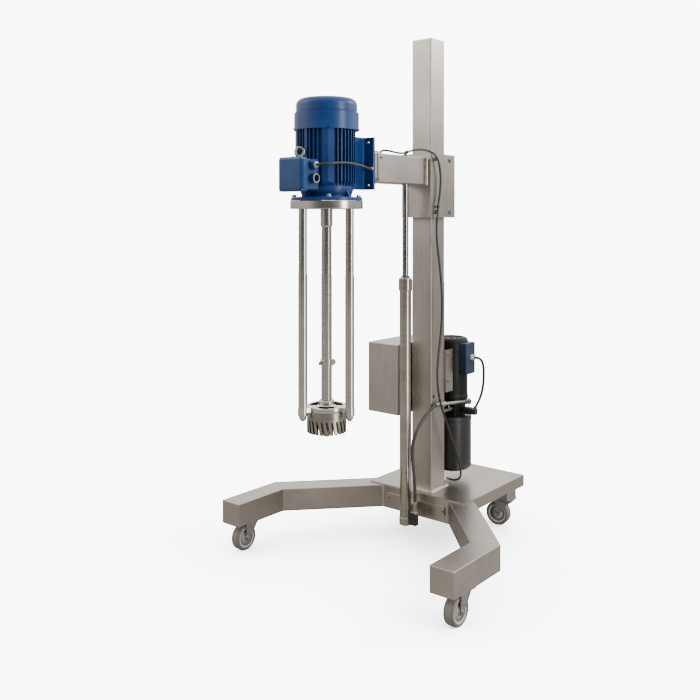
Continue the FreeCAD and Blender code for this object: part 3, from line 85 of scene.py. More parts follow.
def gridShape(grid, loop=False):
    # points in rows: each row closes on itself and joins the next. A loop also joins its last row to its
    # first, and anything else gets a middle point at each end.
    rows, cols = grid.shape[:2]
    index = np.arange(rows * cols).reshape(rows, cols)
    beside = np.roll(index, -1, axis=1)
    above = np.roll(index, -1, axis=0)
    quads = np.stack([index, beside, np.roll(above, -1, axis=1), above], axis=-1)
    points = grid.reshape(-1, 3)
    if loop:
        return points, quads.reshape(-1, 4)
    points = np.vstack([points, grid[0].mean(axis=0), grid[-1].mean(axis=0)])
    low, high = np.full(cols, rows * cols), np.full(cols, rows * cols + 1)
    lowCap = np.stack([beside[0], index[0], low], axis=-1)
    highCap = np.stack([index[-1], beside[-1], high], axis=-1)
    return points, quads[:-1].reshape(-1, 4), lowCap, highCap


def crossAxes(axis):
    # two directions square to an axis and to each other
    axis = np.array(axis, float) / np.linalg.norm(axis)
    first = np.cross(axis, (0, 0, 1.0) if abs(axis[2]) < 0.9 else (0, 1.0, 0))
    first /= np.linalg.norm(first)
    return axis, first, np.cross(axis, first)


def turnedShape(profile, centre, axis=(0, 0, 1), steps=48, loop=False):
    # a lathe profile of radius and height in millimetres:
    # centre + height * axis + radius * (cos a * first + sin a * second)
    radius, height = np.array(profile, float).T / 1000
    axis, first, second = crossAxes(axis)
    angle = np.linspace(0, 2 * np.pi, steps, endpoint=False)[:, None]
    ring = np.cos(angle) * first + np.sin(angle) * second
    grid = np.array(centre) + height[:, None, None] * axis + radius[:, None, None] * ring
    return gridShape(grid, loop)


def sleeveShape(route, profile, steps=40):
    # the same, but with its distances counted along a cord's route, so that it bends with the cord
    distance, radius = np.array(profile, float).T / 1000
    gaps = np.linalg.norm(np.diff(route, axis=0), axis=1)
    route = route[np.concatenate([[True], gaps > 1e-6])]
    reach = np.concatenate([[0], np.cumsum(np.linalg.norm(np.diff(route, axis=0), axis=1))])
    tangent = np.gradient(route, reach, axis=0)
    centre = np.stack([np.interp(distance, reach, route[:, k]) for k in range(3)], axis=-1)
    along = np.stack([np.interp(distance, reach, tangent[:, k]) for k in range(3)], axis=-1)
    along /= np.linalg.norm(along, axis=1)[:, None]
    first = np.cross(along, (1.0, 0, 0))
    first /= np.linalg.norm(first, axis=1)[:, None]
    second = np.cross(along, first)
    angle = np.linspace(0, 2 * np.pi, steps, endpoint=False)[None, :, None]
    ring = np.cos(angle) * first[:, None, :] + np.sin(angle) * second[:, None, :]
    return gridShape(centre[:, None, :] + radius[:, None, None] * ring)


# Welds, in millimetres: how wide each stands on its faces, one puddle of the torch, and the bead's shape
weldSet = {"puddle": 2.6, "stepsEach": 6, "footLeg": 4.5, "armLeg": 5.0, "beamLeg": 4.0, "swell": 0.10,
           "fullness": 1.5, "rootDepth": 0.06, "footHalf": (65.35, 68.45), "footCorner": 0.5,
           "armHalf": (60, 63), "armCorner": 3.5}


def weldSection(steps, length, out, up, leg):
    # fillet weld in section: a slightly full slope, cos and sin to the power 1.5, that swells by a tenth
    # once for each puddle of the torch, and a root just inside the joint
    puddles = np.linspace(0, length / weldSet["puddle"], steps)
    swell = 1 + weldSet["swell"] * np.abs(np.sin(np.pi * puddles))[:, None, None]
    turn = np.linspace(0, np.pi / 2, 7)[None, :, None]
    full = weldSet["fullness"]
    slope = (np.cos(turn) ** full * out[:, None, :] + np.sin(turn) ** full * up) * leg / 1000 * swell
    root = np.broadcast_to(-weldSet["rootDepth"] * (out[:, None, :] + up) * leg / 1000, (steps, 1, 3))
    return np.concatenate([slope, root], axis=1)


def weldRing(centre, across, up, half, corner, leg):
    # a weld right round a rounded rectangle, on the face that the rectangle stands on
    across, up = np.array(across, float), np.array(up, float)
    turn = np.linspace(0, np.pi / 2, 9)
    angle = np.concatenate([turn + quarter * np.pi / 2 for quarter in range(4)])
    middle = np.repeat([(1, 1), (-1, 1), (-1, -1), (1, -1)], 9, axis=0) * (np.array(half) - corner)
    out = np.stack([np.cos(angle), np.sin(angle)], axis=-1)
    outline = middle + corner * out
    outline, out = np.vstack([outline, outline[:1]]), np.vstack([out, out[:1]])
    reach = np.concatenate([[0], np.cumsum(np.linalg.norm(np.diff(outline, axis=0), axis=1))])
    puddles = round(reach[-1] / weldSet["puddle"])
    even = np.linspace(0, reach[-1], puddles * weldSet["stepsEach"], endpoint=False)
    flat = np.stack([np.interp(even, reach, outline[:, k]) for k in range(2)], axis=-1) / 1000
    out = np.stack([np.interp(even, reach, out[:, k]) for k in range(2)], axis=-1)
    out /= np.linalg.norm(out, axis=1)[:, None]
    spot = np.array(place(*centre)) + flat[:, :1] * across + flat[:, 1:] * up
    outward = out[:, :1] * across + out[:, 1:] * up
    section = weldSection(len(even), reach[-1], outward, np.cross(across, up), leg)
    return gridShape(spot[:, None, :] + section, loop=True)


def weldRun(start, end, faceA, faceB, leg):
    # a straight weld in the corner between two faces
    start, end = np.array(place(*start)), np.array(place(*end))
    length = np.linalg.norm(end - start) * 1000
    steps = round(length / weldSet["puddle"]) * weldSet["stepsEach"]
    along = np.linspace(0, 1, steps)[:, None, None]
    faceA = np.tile(np.array(faceA, float) / np.linalg.norm(faceA), (steps, 1))
    faceB = np.array(faceB, float) / np.linalg.norm(faceB)
    return gridShape(start + along * (end - start) + weldSection(steps, length, faceA, faceB, leg))


def makePiece(name, shapes, body, material=None, crease=35):
    # one mesh of several closed shapes, each given as points and blocks of three- or four-cornered faces
    points = np.concatenate([shape[0] for shape in shapes])
    starts = np.cumsum([0] + [len(shape[0]) for shape in shapes])
    blocks = [block + start for shape, start in zip(shapes, starts) for block in shape[1:]]
    corners = np.concatenate([block.ravel() for block in blocks])
    sizes = np.concatenate([np.full(len(block), block.shape[1]) for block in blocks])
    mesh = bpy.data.meshes.new(name)
    mesh.vertices.add(len(points))
    mesh.vertices.foreach_set("co", points.ravel())
    mesh.loops.add(len(corners))
    mesh.loops.foreach_set("vertex_index", corners)
    mesh.polygons.add(len(sizes))
    mesh.polygons.foreach_set("loop_start", np.cumsum(sizes) - sizes)
    mesh.update(calc_edges=True)
    outward = bmesh.new()
    outward.from_mesh(mesh)
    bmesh.ops.recalc_face_normals(outward, faces=outward.faces)
    outward.to_mesh(mesh)
    outward.free()
    mesh.polygons.foreach_set("use_smooth", np.ones(len(sizes), bool))
    mesh.set_sharp_from_angle(angle=math.radians(crease))
    if material:
        mesh.materials.append(material)
    piece = bpy.data.objects.new(name, mesh)
    bpy.context.scene.collection.objects.link(piece)
    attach(piece, body)
    return piece


# Cords. Each route is the one that its tube follows, in millimetres round the column.
cordRoutes = {
    "hydraulicHose": [(54, -187.7, 226), (54, -187.7, 262), (53, -188.5, 306), (49, -189.5, 352),
                      (44, -191, 400), (41, -191.5, 446), (43, -190, 490), (50, -183, 530),
                      (57, -163, 566), (61, -132, 596), (65, -98, 621), (68, -66, 640),
                      (69, -37.9, 647.7), (69, -12, 645)],
    "motorCable": [(80, -895, 1735), (100, -894, 1736), (120, -881, 1738), (134, -856, 1741),
                   (143, -822, 1743.5), (147, -784, 1744), (148, -744, 1742), (146, -704, 1738.5),
                   (141, -668, 1735), (127, -634, 1730), (127, -604, 1730)],
    "armCable": [(38, -432, 1807), (39, -428, 1817), (44, -410, 1823), (52, -384, 1822),
                 (59, -352, 1817), (63, -318, 1814), (64, -286, 1817), (66, -252, 1826),
                 (70, -214, 1835), (77, -172, 1840), (84, -132, 1838), (91, -98, 1829),
                 (97, -72, 1810), (98.5, -56, 1780), (98.5, -46, 1742), (98, -42, 1702),
                 (97, -44, 1662), (96, -50, 1624), (95.5, -59, 1592), (96.5, -64, 1566)],
    "dropCable": [(96.5, -64, 1566), (97.5, -69, 1540), (95.5, -74, 1494), (91, -66, 1428),
                  (88.5, -49, 1362), (87, -32, 1290), (86, -18, 1210), (85, -10, 1126),
                  (84, -12, 1040), (83, -24, 954), (82.5, -40, 872), (83, -50, 796),
                  (85, -47, 726), (88, -30, 660), (91, -2, 594), (94, 32, 524),
                  (99, 68, 450), (103, 98, 382), (105, 118, 326), (103, 128, 286),
                  (90, 128, 262), (66, 122, 255), (46, 112, 260), (34, 98, 266),
                  (34, 87.45, 266)],
    "packCable": [(126, 216, 844), (137, 219, 843), (143, 236, 838), (141, 262, 821),
                  (133, 288, 791), (124, 306, 747), (118, 312, 700), (115, 303, 658),
                  (113, 283, 626), (112, 263, 606.5), (112, 246, 593)],
}
cordFacts = {
    "hydraulicHose": {"node": "hydraulic_hose", "body": "base", "across": 0.015, "length": 0.5246,
                      "stiffness": "stiff", "slot": "hose_rubber"},
    "motorCable": {"node": "motor_cable", "body": "carriage", "across": 0.010, "length": 0.3285,
                   "stiffness": "medium", "slot": "cable_rubber"},
    "armCable": {"node": "arm_cable", "body": "carriage", "across": 0.010, "length": 0.6332,
                 "stiffness": "medium", "slot": "cable_rubber"},
    "packCable": {"node": "pack_cable", "body": "base", "across": 0.010, "length": 0.3256,
                  "stiffness": "medium", "slot": "cable_rubber"},
    "dropCable": {"node": "drop_cable", "body": "base", "across": 0.010, "length": 1.4276,
                  "stiffness": "medium", "slot": "cable_rubber"},
}


def cordCurve(name, radius):
    data = bpy.data.curves.new(name, "CURVE")
    data.dimensions = "3D"
    spline = data.splines.new("NURBS")
    route = cordRoutes[name]
    spline.points.add(len(route) - 1)
    for point, spot in zip(spline.points, route):
        point.co = (*place(*spot), 1)
        point.radius = radius
    spline.order_u = 3
    spline.use_endpoint_u = True
    spline.resolution_u = 12
    data.bevel_depth = 1.0 if radius else 0.0  # in metres, times each point's radius
    data.bevel_resolution = 5
    data.use_fill_caps = radius > 0
    return bpy.data.objects.new(name, data)


def curveMesh(curve):
    # the mesh that Blender itself works out for a curve, which then goes
    bpy.context.scene.collection.objects.link(curve)
    depsgraph = bpy.context.evaluated_depsgraph_get()
    mesh = bpy.data.meshes.new_from_object(curve.evaluated_get(depsgraph))
    bpy.data.objects.remove(curve)
    return mesh


def splinePoints(name):
    mesh = curveMesh(cordCurve(name, 0))
    points = np.empty(len(mesh.vertices) * 3, np.float32)
    mesh.vertices.foreach_get("co", points)
    return points.reshape(-1, 3).astype(float)


# Ferrule on the hose, in millimetres along it from its upper end
ferruleSet = {"start": 0.5, "end": 28.0, "inner": 7.7, "outer": 9.4, "bevel": (27.0, 8.8), "ribStart": 3.0,
              "ribPitch": 3.5, "ribs": 6, "ribSteps": 7, "ribDepth": 0.7}


def hoseFerrule():
    # crimped steel sleeve over the hose's upper end; where the die closed, the radius dips by the square
    # of a sine, one groove to each pitch
    route = splinePoints("hydraulicHose")[::-1]
    start, end, inner, outer = (ferruleSet[key] for key in ("start", "end", "inner", "outer"))
    turn = np.arange(ferruleSet["ribs"] * ferruleSet["ribSteps"] + 1) / ferruleSet["ribSteps"]
    ribs = np.stack([ferruleSet["ribStart"] + ferruleSet["ribPitch"] * turn,
                     outer - ferruleSet["ribDepth"] * np.sin(np.pi * turn) ** 2], axis=-1)
    bevelStart, bevelRadius = ferruleSet["bevel"]
    profile = np.vstack([[(start, inner), (start, outer)], ribs,
                         [(bevelStart, outer), (end, bevelRadius), (end, inner)]])
    return makePiece("hoseFerrule", [sleeveShape(route, profile)], "base")


def makeCords():
    made = {"hoseFerrule": hoseFerrule()}
    for name, facts in cordFacts.items():
        piece = cordCurve(name, facts["across"] / 2)
        path = None
        if name == "dropCable":
            # this one hangs in a slack loop between the column's foot and the moving carriage; here it is a
            # fixed mesh, attached to no body
            path = splinePoints(name).tolist()
            mesh = curveMesh(piece)
            mesh.polygons.foreach_set("use_smooth", np.ones(len(mesh.polygons), bool))
            piece = bpy.data.objects.new(name, mesh)
            bpy.context.scene.collection.objects.link(piece)
            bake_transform(piece)
        else:
            bpy.context.scene.collection.objects.link(piece)
            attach(piece, facts["body"])
        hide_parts(facts["node"])
        made[name] = piece
    return made


cords = makeCords()
print("cords routed")


# Finishes

def linear(hexCode):
    # sRGB hex to linear light: the low end is a straight line, the rest a 2.4 power
    values = [int(hexCode[i:i + 2], 16) / 255 for i in (1, 3, 5)]
    return tuple(v / 12.92 if v <= 0.04045 else ((v + 0.055) / 1.055) ** 2.4 for v in values) + (1,)


def addNode(tree, kind, inputs=None, **settings):
    node = tree.nodes.new(kind)
    for key, value in settings.items():
        setattr(node, key, value)
    for socket, value in (inputs or {}).items():
        if isinstance(value, bpy.types.NodeSocket):
            tree.links.new(value, node.inputs[socket])
        else:
            node.inputs[socket].default_value = value
    return node


def objectSpot(tree):
    # metres in the frame, as every piece has its origin there
    return addNode(tree, "ShaderNodeTexCoord").outputs["Object"]


def noise(tree, vector, scale, detail, **extra):
    inputs = {"Vector": vector, "Scale": scale, "Detail": detail, **extra}
    return addNode(tree, "ShaderNodeTexNoise", inputs).outputs["Fac"]


def maths(tree, operation, *values):
    return addNode(tree, "ShaderNodeMath", dict(enumerate(values)), operation=operation).outputs[0]


def vectorMaths(tree, operation, *values):
    node = addNode(tree, "ShaderNodeVectorMath", dict(enumerate(values)), operation=operation)
    return node.outputs["Value" if operation in ("DOT_PRODUCT", "DISTANCE", "LENGTH") else "Vector"]


def bumpSkin(tree, shader, height, strength, depth):
    bump = addNode(tree, "ShaderNodeBump", {"Height": height, "Strength": strength, "Distance": depth})
    tree.links.new(bump.outputs[0], shader.inputs["Normal"])


def startMaterial(name, **constants):
    material = bpy.data.materials.new(name)
    material.use_nodes = True
    tree = material.node_tree
    shader = next(n for n in tree.nodes if n.type == "BSDF_PRINCIPLED")
    for socket, value in constants.items():
        shader.inputs[socket.replace("_", " ")].default_value = value
    return material, tree, shader


def grainVector(tree, turn, alongMm, acrossMm):
    # object metres turned to the grain, then counted in grain lengths and grain widths
    spot = objectSpot(tree)
    turned = addNode(tree, "ShaderNodeVectorRotate", {"Vector": spot, "Rotation": turn},
                     rotation_type="EULER_XYZ", invert=True)
    size = (1000 / alongMm, 1000 / acrossMm, 1000 / acrossMm)
    return vectorMaths(tree, "MULTIPLY", turned.outputs[0], size)


def blendColour(tree, factor, low, high):
    ramp = addNode(tree, "ShaderNodeMix", {"Factor": factor}, data_type="RGBA")
    for socket, value in ((6, low), (7, high)):
        if isinstance(value, bpy.types.NodeSocket):
            tree.links.new(value, ramp.inputs[socket])
        else:
            ramp.inputs[socket].default_value = linear(value) if isinstance(value, str) else value
    return ramp.outputs[2]


def spread(tree, value, low, high):
    # a pattern from 0.3 to 0.7, where noise lies, stretched to run from low to high
    node = addNode(tree, "ShaderNodeMapRange", {"Value": value, "From Min": 0.3, "From Max": 0.7,
                                                "To Min": low, "To Max": high})
    return node.outputs[0]


# Satin brushed stainless sheet, number 4 belt finish: long fine scratches that blur reflections
# across the grain. Real scratches are 0.1 mm wide, drawn here 1.6 mm wide so that they show.
brushedSet = {"tone": "#b6aea6", "dark": "#978f87", "grainMm": 1.6, "lengthMm": 90, "cloudMm": 260,
              "rough": (0.27, 0.42), "bump": 0.05, "bumpDepth": 0.0006, "mix": 0.5,
              "seamHalf": 0.0008}  # the ground-back weld at the mitre, drawn twice as wide as it is


def brushGrain(tree, turn):
    vector = grainVector(tree, turn, brushedSet["lengthMm"], brushedSet["grainMm"])
    return noise(tree, vector, 1.0, 3.0, Roughness=0.6)


def brushedStainless(name, turn=(0, 0, 0), tone=None, dark=None, mitre=None):
    material, tree, shader = startMaterial(name, Metallic=1.0)
    grain = brushGrain(tree, turn)
    spot = objectSpot(tree)
    if mitre:
        # past the mitre the grain follows the other run of the tube
        normal, offset, otherTurn = mitre
        side = vectorMaths(tree, "DOT_PRODUCT", spot, normal)
        past = maths(tree, "GREATER_THAN", side, offset)
        grain = addNode(tree, "ShaderNodeMix", {"Factor": past, 2: grain, 3: brushGrain(tree, otherTurn)},
                        data_type="FLOAT").outputs[0]
        away = maths(tree, "SUBTRACT", side, offset)
        away = maths(tree, "ABSOLUTE", away)
        half = brushedSet["seamHalf"]
        seam = addNode(tree, "ShaderNodeMapRange", {"Value": away, "From Min": half, "From Max": 3 * half,
                                                    "To Min": 0.0, "To Max": 1.0}).outputs[0]
        grain = maths(tree, "MULTIPLY", grain, seam)
    cloud = noise(tree, spot, 1000 / brushedSet["cloudMm"], 2.0)
    mix = brushedSet["mix"]
    mixed = maths(tree, "MULTIPLY_ADD", cloud, mix, maths(tree, "MULTIPLY", grain, mix))
    shades = (dark or brushedSet["dark"], tone or brushedSet["tone"])
    colour = blendColour(tree, spread(tree, mixed, 0.0, 1.0), *shades)
    tree.links.new(colour, shader.inputs["Base Color"])
    tree.links.new(spread(tree, grain, *brushedSet["rough"]), shader.inputs["Roughness"])
    bumpSkin(tree, shader, grain, brushedSet["bump"], brushedSet["bumpDepth"])
    return material


# Ground bar and turned steel: rings left by the wheel, finer and brighter than the belt grain.
# Real rings are 0.05 mm apart, drawn 4 mm apart, because finer ones only blur at this distance.
groundSet = {"tone": "#ccc5bd", "dark": "#bab2aa", "ringMm": 4.0, "acrossPerMetre": 6.0,
             "cloudPerMetre": 9.0, "rough": (0.165, 0.18)}


def groundSteel(name, tone=None, dark=None, rough=None, slotShade=None):
    material, tree, shader = startMaterial(name, Metallic=1.0)
    spot = objectSpot(tree)
    size = (groundSet["acrossPerMetre"], groundSet["acrossPerMetre"], 1000 / groundSet["ringMm"])
    vector = vectorMaths(tree, "MULTIPLY", spot, size)
    rings = noise(tree, vector, 1.0, 2.0)
    cloud = noise(tree, spot, groundSet["cloudPerMetre"], 2.0)
    mixed = maths(tree, "MULTIPLY", rings, cloud)
    mixed = maths(tree, "SQRT", mixed)
    shades = (dark or groundSet["dark"], tone or groundSet["tone"])
    colour = blendColour(tree, spread(tree, mixed, 0.0, 1.0), *shades)
    if slotShade:
        # painted shade in the milled slots: everything nearer the mixer's axis than the given radius is
        # darker, standing for the shade on the slots' walls
        local = vectorMaths(tree, "SUBTRACT", spot, place(*motorAxis))
        level = vectorMaths(tree, "MULTIPLY", local, (1, 1, 0))
        colour = zone(tree, vectorMaths(tree, "LENGTH", level), slotShade["inside"], slotShade["shade"], colour)
    tree.links.new(colour, shader.inputs["Base Color"])
    tree.links.new(spread(tree, rings, *(rough or groundSet["rough"])), shader.inputs["Roughness"])
    return material


# Machine enamel sprayed on iron and sheet: half gloss, with an orange-peel ripple about 2.5 mm across, and
# on castings the grit of the sand mould under it
enamelSet = {"blue": ("#0b3875", "#06285a"), "sheetBlue": ("#0d3d79", "#093268"),
             "boxBlue": ("#123f73", "#0d305c"), "darkBlue": ("#27374f", "#1b293c"),
             "black": ("#1a1918", "#100f0f"), "packBlack": ("#0b0b0a", "#060606"),
             "peelMm": 2.5, "castMm": 1.1, "cloudPerMetre": 11.0, "coatRough": 0.25,
             "peelBump": 0.08, "castBump": 0.25, "bumpDepth": 0.0004}


def enamel(name, shades, rough=(0.30, 0.42), cast=0.0, gloss=0.08, shine=0.36):
    material, tree, shader = startMaterial(name, Coat_Weight=gloss, Coat_Roughness=enamelSet["coatRough"],
                                           IOR=1.5, Specular_IOR_Level=shine)
    spot = objectSpot(tree)
    peel = noise(tree, spot, 1000 / enamelSet["peelMm"], 1.0)
    grit = noise(tree, spot, 1000 / enamelSet["castMm"], 3.0)
    cloud = noise(tree, spot, enamelSet["cloudPerMetre"], 3.0)
    colour = blendColour(tree, spread(tree, cloud, 0.0, 1.0), shades[1], shades[0])
    tree.links.new(colour, shader.inputs["Base Color"])
    tree.links.new(spread(tree, cloud, *rough), shader.inputs["Roughness"])
    height = addNode(tree, "ShaderNodeMix", {"Factor": cast, 2: peel, 3: grit},
                     data_type="FLOAT").outputs[0]
    strength = enamelSet["peelBump"] + enamelSet["castBump"] * cast
    bumpSkin(tree, shader, height, strength, enamelSet["bumpDepth"])
    return material


# Hard chrome on the lift rod: ground and plated, mirror smooth, with faint wipe marks from the seal
chromeSet = {"tone": "#adaba9", "dark": "#959390", "acrossMm": 2.5, "alongMm": 250.0, "rough": (0.10, 0.12)}


def hardChrome(name):
    material, tree, shader = startMaterial(name, Metallic=1.0)
    spot = objectSpot(tree)
    size = (1000 / chromeSet["acrossMm"], 1000 / chromeSet["acrossMm"], 1000 / chromeSet["alongMm"])
    vector = vectorMaths(tree, "MULTIPLY", spot, size)
    wipe = noise(tree, vector, 1.0, 2.0)
    colour = blendColour(tree, wipe, chromeSet["dark"], chromeSet["tone"])
    tree.links.new(colour, shader.inputs["Base Color"])
    tree.links.new(spread(tree, wipe, *chromeSet["rough"]), shader.inputs["Roughness"])
    return material


# Bright zinc on pressed and turned steel: cool grey with soft cloudy spangle about 6 mm across
zincSet = {"tone": "#b4b2af", "dark": "#8c8a88", "spangleMm": 6.25, "rough": (0.24, 0.4),
           "patchedRough": (0.26, 0.42), "patch": "#1b1a19"}


def zincPlate(name, tone=zincSet["tone"], dark=zincSet["dark"]):
    material, tree, shader = startMaterial(name, Metallic=1.0)
    spot = objectSpot(tree)
    spangle = noise(tree, spot, 1000 / zincSet["spangleMm"], 4.0)
    tree.links.new(blendColour(tree, spread(tree, spangle, 0, 1), dark, tone), shader.inputs["Base Color"])
    tree.links.new(spread(tree, spangle, *zincSet["rough"]), shader.inputs["Roughness"])
    return material


# Moulded rubber and plastic: matt skin with a spark-eroded grain about 0.8 mm across, drawn 1.5 mm
mouldedSet = {"rough": (0.45, 0.6), "grainMm": 1.5, "cloudPerMetre": 30.0, "bump": 0.12,
              "bumpDepth": 0.0003}


def moulded(name, tone, dark, rough=mouldedSet["rough"], grainMm=mouldedSet["grainMm"]):
    material, tree, shader = startMaterial(name, IOR=1.5)
    spot = objectSpot(tree)
    grain = noise(tree, spot, 1000 / grainMm, 2.0)
    cloud = noise(tree, spot, mouldedSet["cloudPerMetre"], 3.0)
    tree.links.new(blendColour(tree, spread(tree, cloud, 0, 1), dark, tone), shader.inputs["Base Color"])
    tree.links.new(spread(tree, cloud, *rough), shader.inputs["Roughness"])
    bumpSkin(tree, shader, grain, mouldedSet["bump"], mouldedSet["bumpDepth"])
    return material


# Caster wheel: grey thermoplastic rubber tyre with a scuffed running band, on a moulded hub whose pale
# rim meets the tyre; the dished web inside the rim is painted darker, as painted shade in the dish
wheelSet = {"tread": "#6b665f", "scuff": "#817c75", "rim": "#c6c3bd", "web": "#6b6864", "boss": "#b5b2ad",
            "tyreInner": 0.0435, "rimInner": 0.0383, "webInner": 0.0262, "bandHalf": 0.011,
            "gritPerMetre": 420.0, "rough": (0.42, 0.6), "bump": 0.15, "bumpDepth": 0.0004}


def zone(tree, radius, limit, inside, outside):
    # one colour inside a radius and another outside it
    past = maths(tree, "GREATER_THAN", radius, limit)
    return blendColour(tree, past, inside, outside)


def wheelRubber(name, centre, axle):
    material, tree, shader = startMaterial(name, IOR=1.5)
    spot = objectSpot(tree)
    local = vectorMaths(tree, "SUBTRACT", spot, centre)
    radius = vectorMaths(tree, "LENGTH", vectorMaths(tree, "CROSS_PRODUCT", local, axle))
    sideways = maths(tree, "ABSOLUTE", vectorMaths(tree, "DOT_PRODUCT", local, axle))
    grit = noise(tree, spot, wheelSet["gritPerMetre"], 3.0)
    band = maths(tree, "MULTIPLY", maths(tree, "LESS_THAN", sideways, wheelSet["bandHalf"]), grit)
    # painted shade: the ring between the web's and the rim's inner radii, the hub's dished web, is coloured
    # dark
    colour = zone(tree, radius, wheelSet["webInner"], wheelSet["boss"], wheelSet["web"])
    colour = zone(tree, radius, wheelSet["rimInner"], colour, wheelSet["rim"])
    tyre = blendColour(tree, band, wheelSet["tread"], wheelSet["scuff"])
    colour = zone(tree, radius, wheelSet["tyreInner"], colour, tyre)
    tree.links.new(colour, shader.inputs["Base Color"])
    tree.links.new(spread(tree, grit, *wheelSet["rough"]), shader.inputs["Roughness"])
    bumpSkin(tree, shader, grit, wheelSet["bump"], wheelSet["bumpDepth"])
    return material


# Zinc fasteners and fittings that share a piece with black nylon or black oxide parts: black within a
# radius of each of the given points
def patchedZinc(name, patches, reach):
    material, tree, shader = startMaterial(name)
    spot = objectSpot(tree)
    spangle = noise(tree, spot, 1000 / zincSet["spangleMm"], 4.0)
    nearest = None
    for point in patches:
        gap = vectorMaths(tree, "DISTANCE", spot, point)
        nearest = gap if nearest is None else maths(tree, "MINIMUM", nearest, gap)
    metal = maths(tree, "GREATER_THAN", nearest, reach)
    zinc = blendColour(tree, spread(tree, spangle, 0, 1), zincSet["dark"], zincSet["tone"])
    tree.links.new(blendColour(tree, metal, zincSet["patch"], zinc), shader.inputs["Base Color"])
    tree.links.new(metal, shader.inputs["Metallic"])
    tree.links.new(spread(tree, spangle, *zincSet["patchedRough"]), shader.inputs["Roughness"])
    return material


# Drive case inside the enclosure: grey moulding with rows of louvres top and bottom, whose openings are
# drawn as dark bars of painted shade
louvreSet = {"pitchMm": 9.0, "bar": 0.38, "half": 0.035, "inner": 0.24, "outer": 0.44, "case": "#8d9195",
             "caseDark": "#7c8084", "slot": "#1d1e1f", "cloudPerMetre": 30.0, "rough": (0.4, 0.55)}


def driveCase(name, low, high):
    # a louvre where the height's fraction of a pitch is small, within the middle's width and in two bands
    material, tree, shader = startMaterial(name, IOR=1.5)
    spot = objectSpot(tree)
    parts = addNode(tree, "ShaderNodeSeparateXYZ", {0: spot}).outputs
    middle = [(a + b) / 2 for a, b in zip(low, high)]
    tall = high[2] - low[2]
    pitches = maths(tree, "FRACT", maths(tree, "MULTIPLY", parts[2], 1000 / louvreSet["pitchMm"]))
    side = maths(tree, "ABSOLUTE", maths(tree, "SUBTRACT", parts[1], middle[1]))
    rise = maths(tree, "ABSOLUTE", maths(tree, "SUBTRACT", parts[2], middle[2]))
    bar = maths(tree, "LESS_THAN", pitches, louvreSet["bar"])
    for limit in (maths(tree, "LESS_THAN", side, louvreSet["half"]),
                  maths(tree, "GREATER_THAN", rise, tall * louvreSet["inner"]),
                  maths(tree, "LESS_THAN", rise, tall * louvreSet["outer"])):
        bar = maths(tree, "MULTIPLY", bar, limit)
    cloud = noise(tree, spot, louvreSet["cloudPerMetre"], 3.0)
    case = blendColour(tree, spread(tree, cloud, 0, 1), louvreSet["caseDark"], louvreSet["case"])
    # the near-black slot colour is painted shade standing for the dark inside the louvres' openings
    tree.links.new(blendColour(tree, bar, case, louvreSet["slot"]), shader.inputs["Base Color"])
    tree.links.new(spread(tree, cloud, *louvreSet["rough"]), shader.inputs["Roughness"])
    return material


# Weld metal, brushed after welding: pale ripples, with a faint straw tint where the heat stayed
weldSkin = {"straw": "#aaa08e", "bright": "#c4beb6", "tintPerMetre": 55.0, "finePerMetre": 700.0,
            "rough": (0.2, 0.36)}


def weldMetal(name):
    material, tree, shader = startMaterial(name, Metallic=1.0)
    spot = objectSpot(tree)
    tint = noise(tree, spot, weldSkin["tintPerMetre"], 2.0)
    fine = noise(tree, spot, weldSkin["finePerMetre"], 2.0)
    colour = blendColour(tree, spread(tree, tint, 0, 1), weldSkin["straw"], weldSkin["bright"])
    tree.links.new(colour, shader.inputs["Base Color"])
    tree.links.new(spread(tree, fine, *weldSkin["rough"]), shader.inputs["Roughness"])
    return material


def dress(material, *names):
    for name in names:
        data = nodes[name].data
        data.materials.clear()
        data.materials.append(material)


cornerNames = ("front_left", "front_right", "rear_left", "rear_right")
rearTurn = math.radians(9.5)  # the right rear caster stands turned by this much


def wheelPlace(corner):
    # middle of a wheel and the way its axle points
    low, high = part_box("wheel_" + corner)
    centre = tuple((a + b) / 2 for a, b in zip(low, high))
    if corner == "rear_right":
        return centre, (-math.sin(rearTurn), math.cos(rearTurn), 0)
    return centre, (1, 0, 0) if high[0] - low[0] < high[1] - low[1] else (0, 1, 0)


# The legs, in millimetres round the column: the bend's inner and outer corners, and the beam's corner
legSet = {"innerBend": (514.8, -466.3), "outerBend": (621.8, -412.7), "beam": (186.8, -110.2)}
diagonalRun = [bend - corner for bend, corner in zip(legSet["innerBend"], legSet["beam"])]
diagonalTurn = math.atan2(-diagonalRun[1], diagonalRun[0])
lengthwise = (0, 0, math.radians(90))  # grain along Y
upright = (0, math.radians(-90), 0)  # grain along Z


def dressFrame():
    # the leg's mitre runs from the inner bend to the outer corner; behind it the grain turns
    for side, name in ((1, "leg_right"), (-1, "leg_left")):
        inner, outer = (Vector((side * x, y)) / 1000 for x, y in (legSet["innerBend"], legSet["outerBend"]))
        along = (outer - inner).normalized()
        normal = Vector((-along.y * side, along.x * side, 0))
        inner.y += columnY
        offset = normal.x * inner.x + normal.y * inner.y
        mitre = (tuple(normal), offset, (0, 0, -side * diagonalTurn))
        dress(brushedStainless("brushedLeg" + name[4:].title(), turn=lengthwise, mitre=mitre), name)
    dress(brushedStainless("brushedBeam"), "cross_beam", "cylinder_bracket", "platform")
    dress(brushedStainless("brushedColumn", turn=upright), "column", "carriage_plates", "pack_bracket")
    dress(brushedStainless("brushedArm", turn=lengthwise, tone="#bdb6ae", dark="#a39b93"), "arm")
    dress(brushedStainless("brushedMotorPlate"), "motor_plate")
    dress(brushedStainless("brushedEnclosure", turn=upright, tone="#bab3ab", dark="#a09890"),
          "enclosure_body", "enclosure_door")


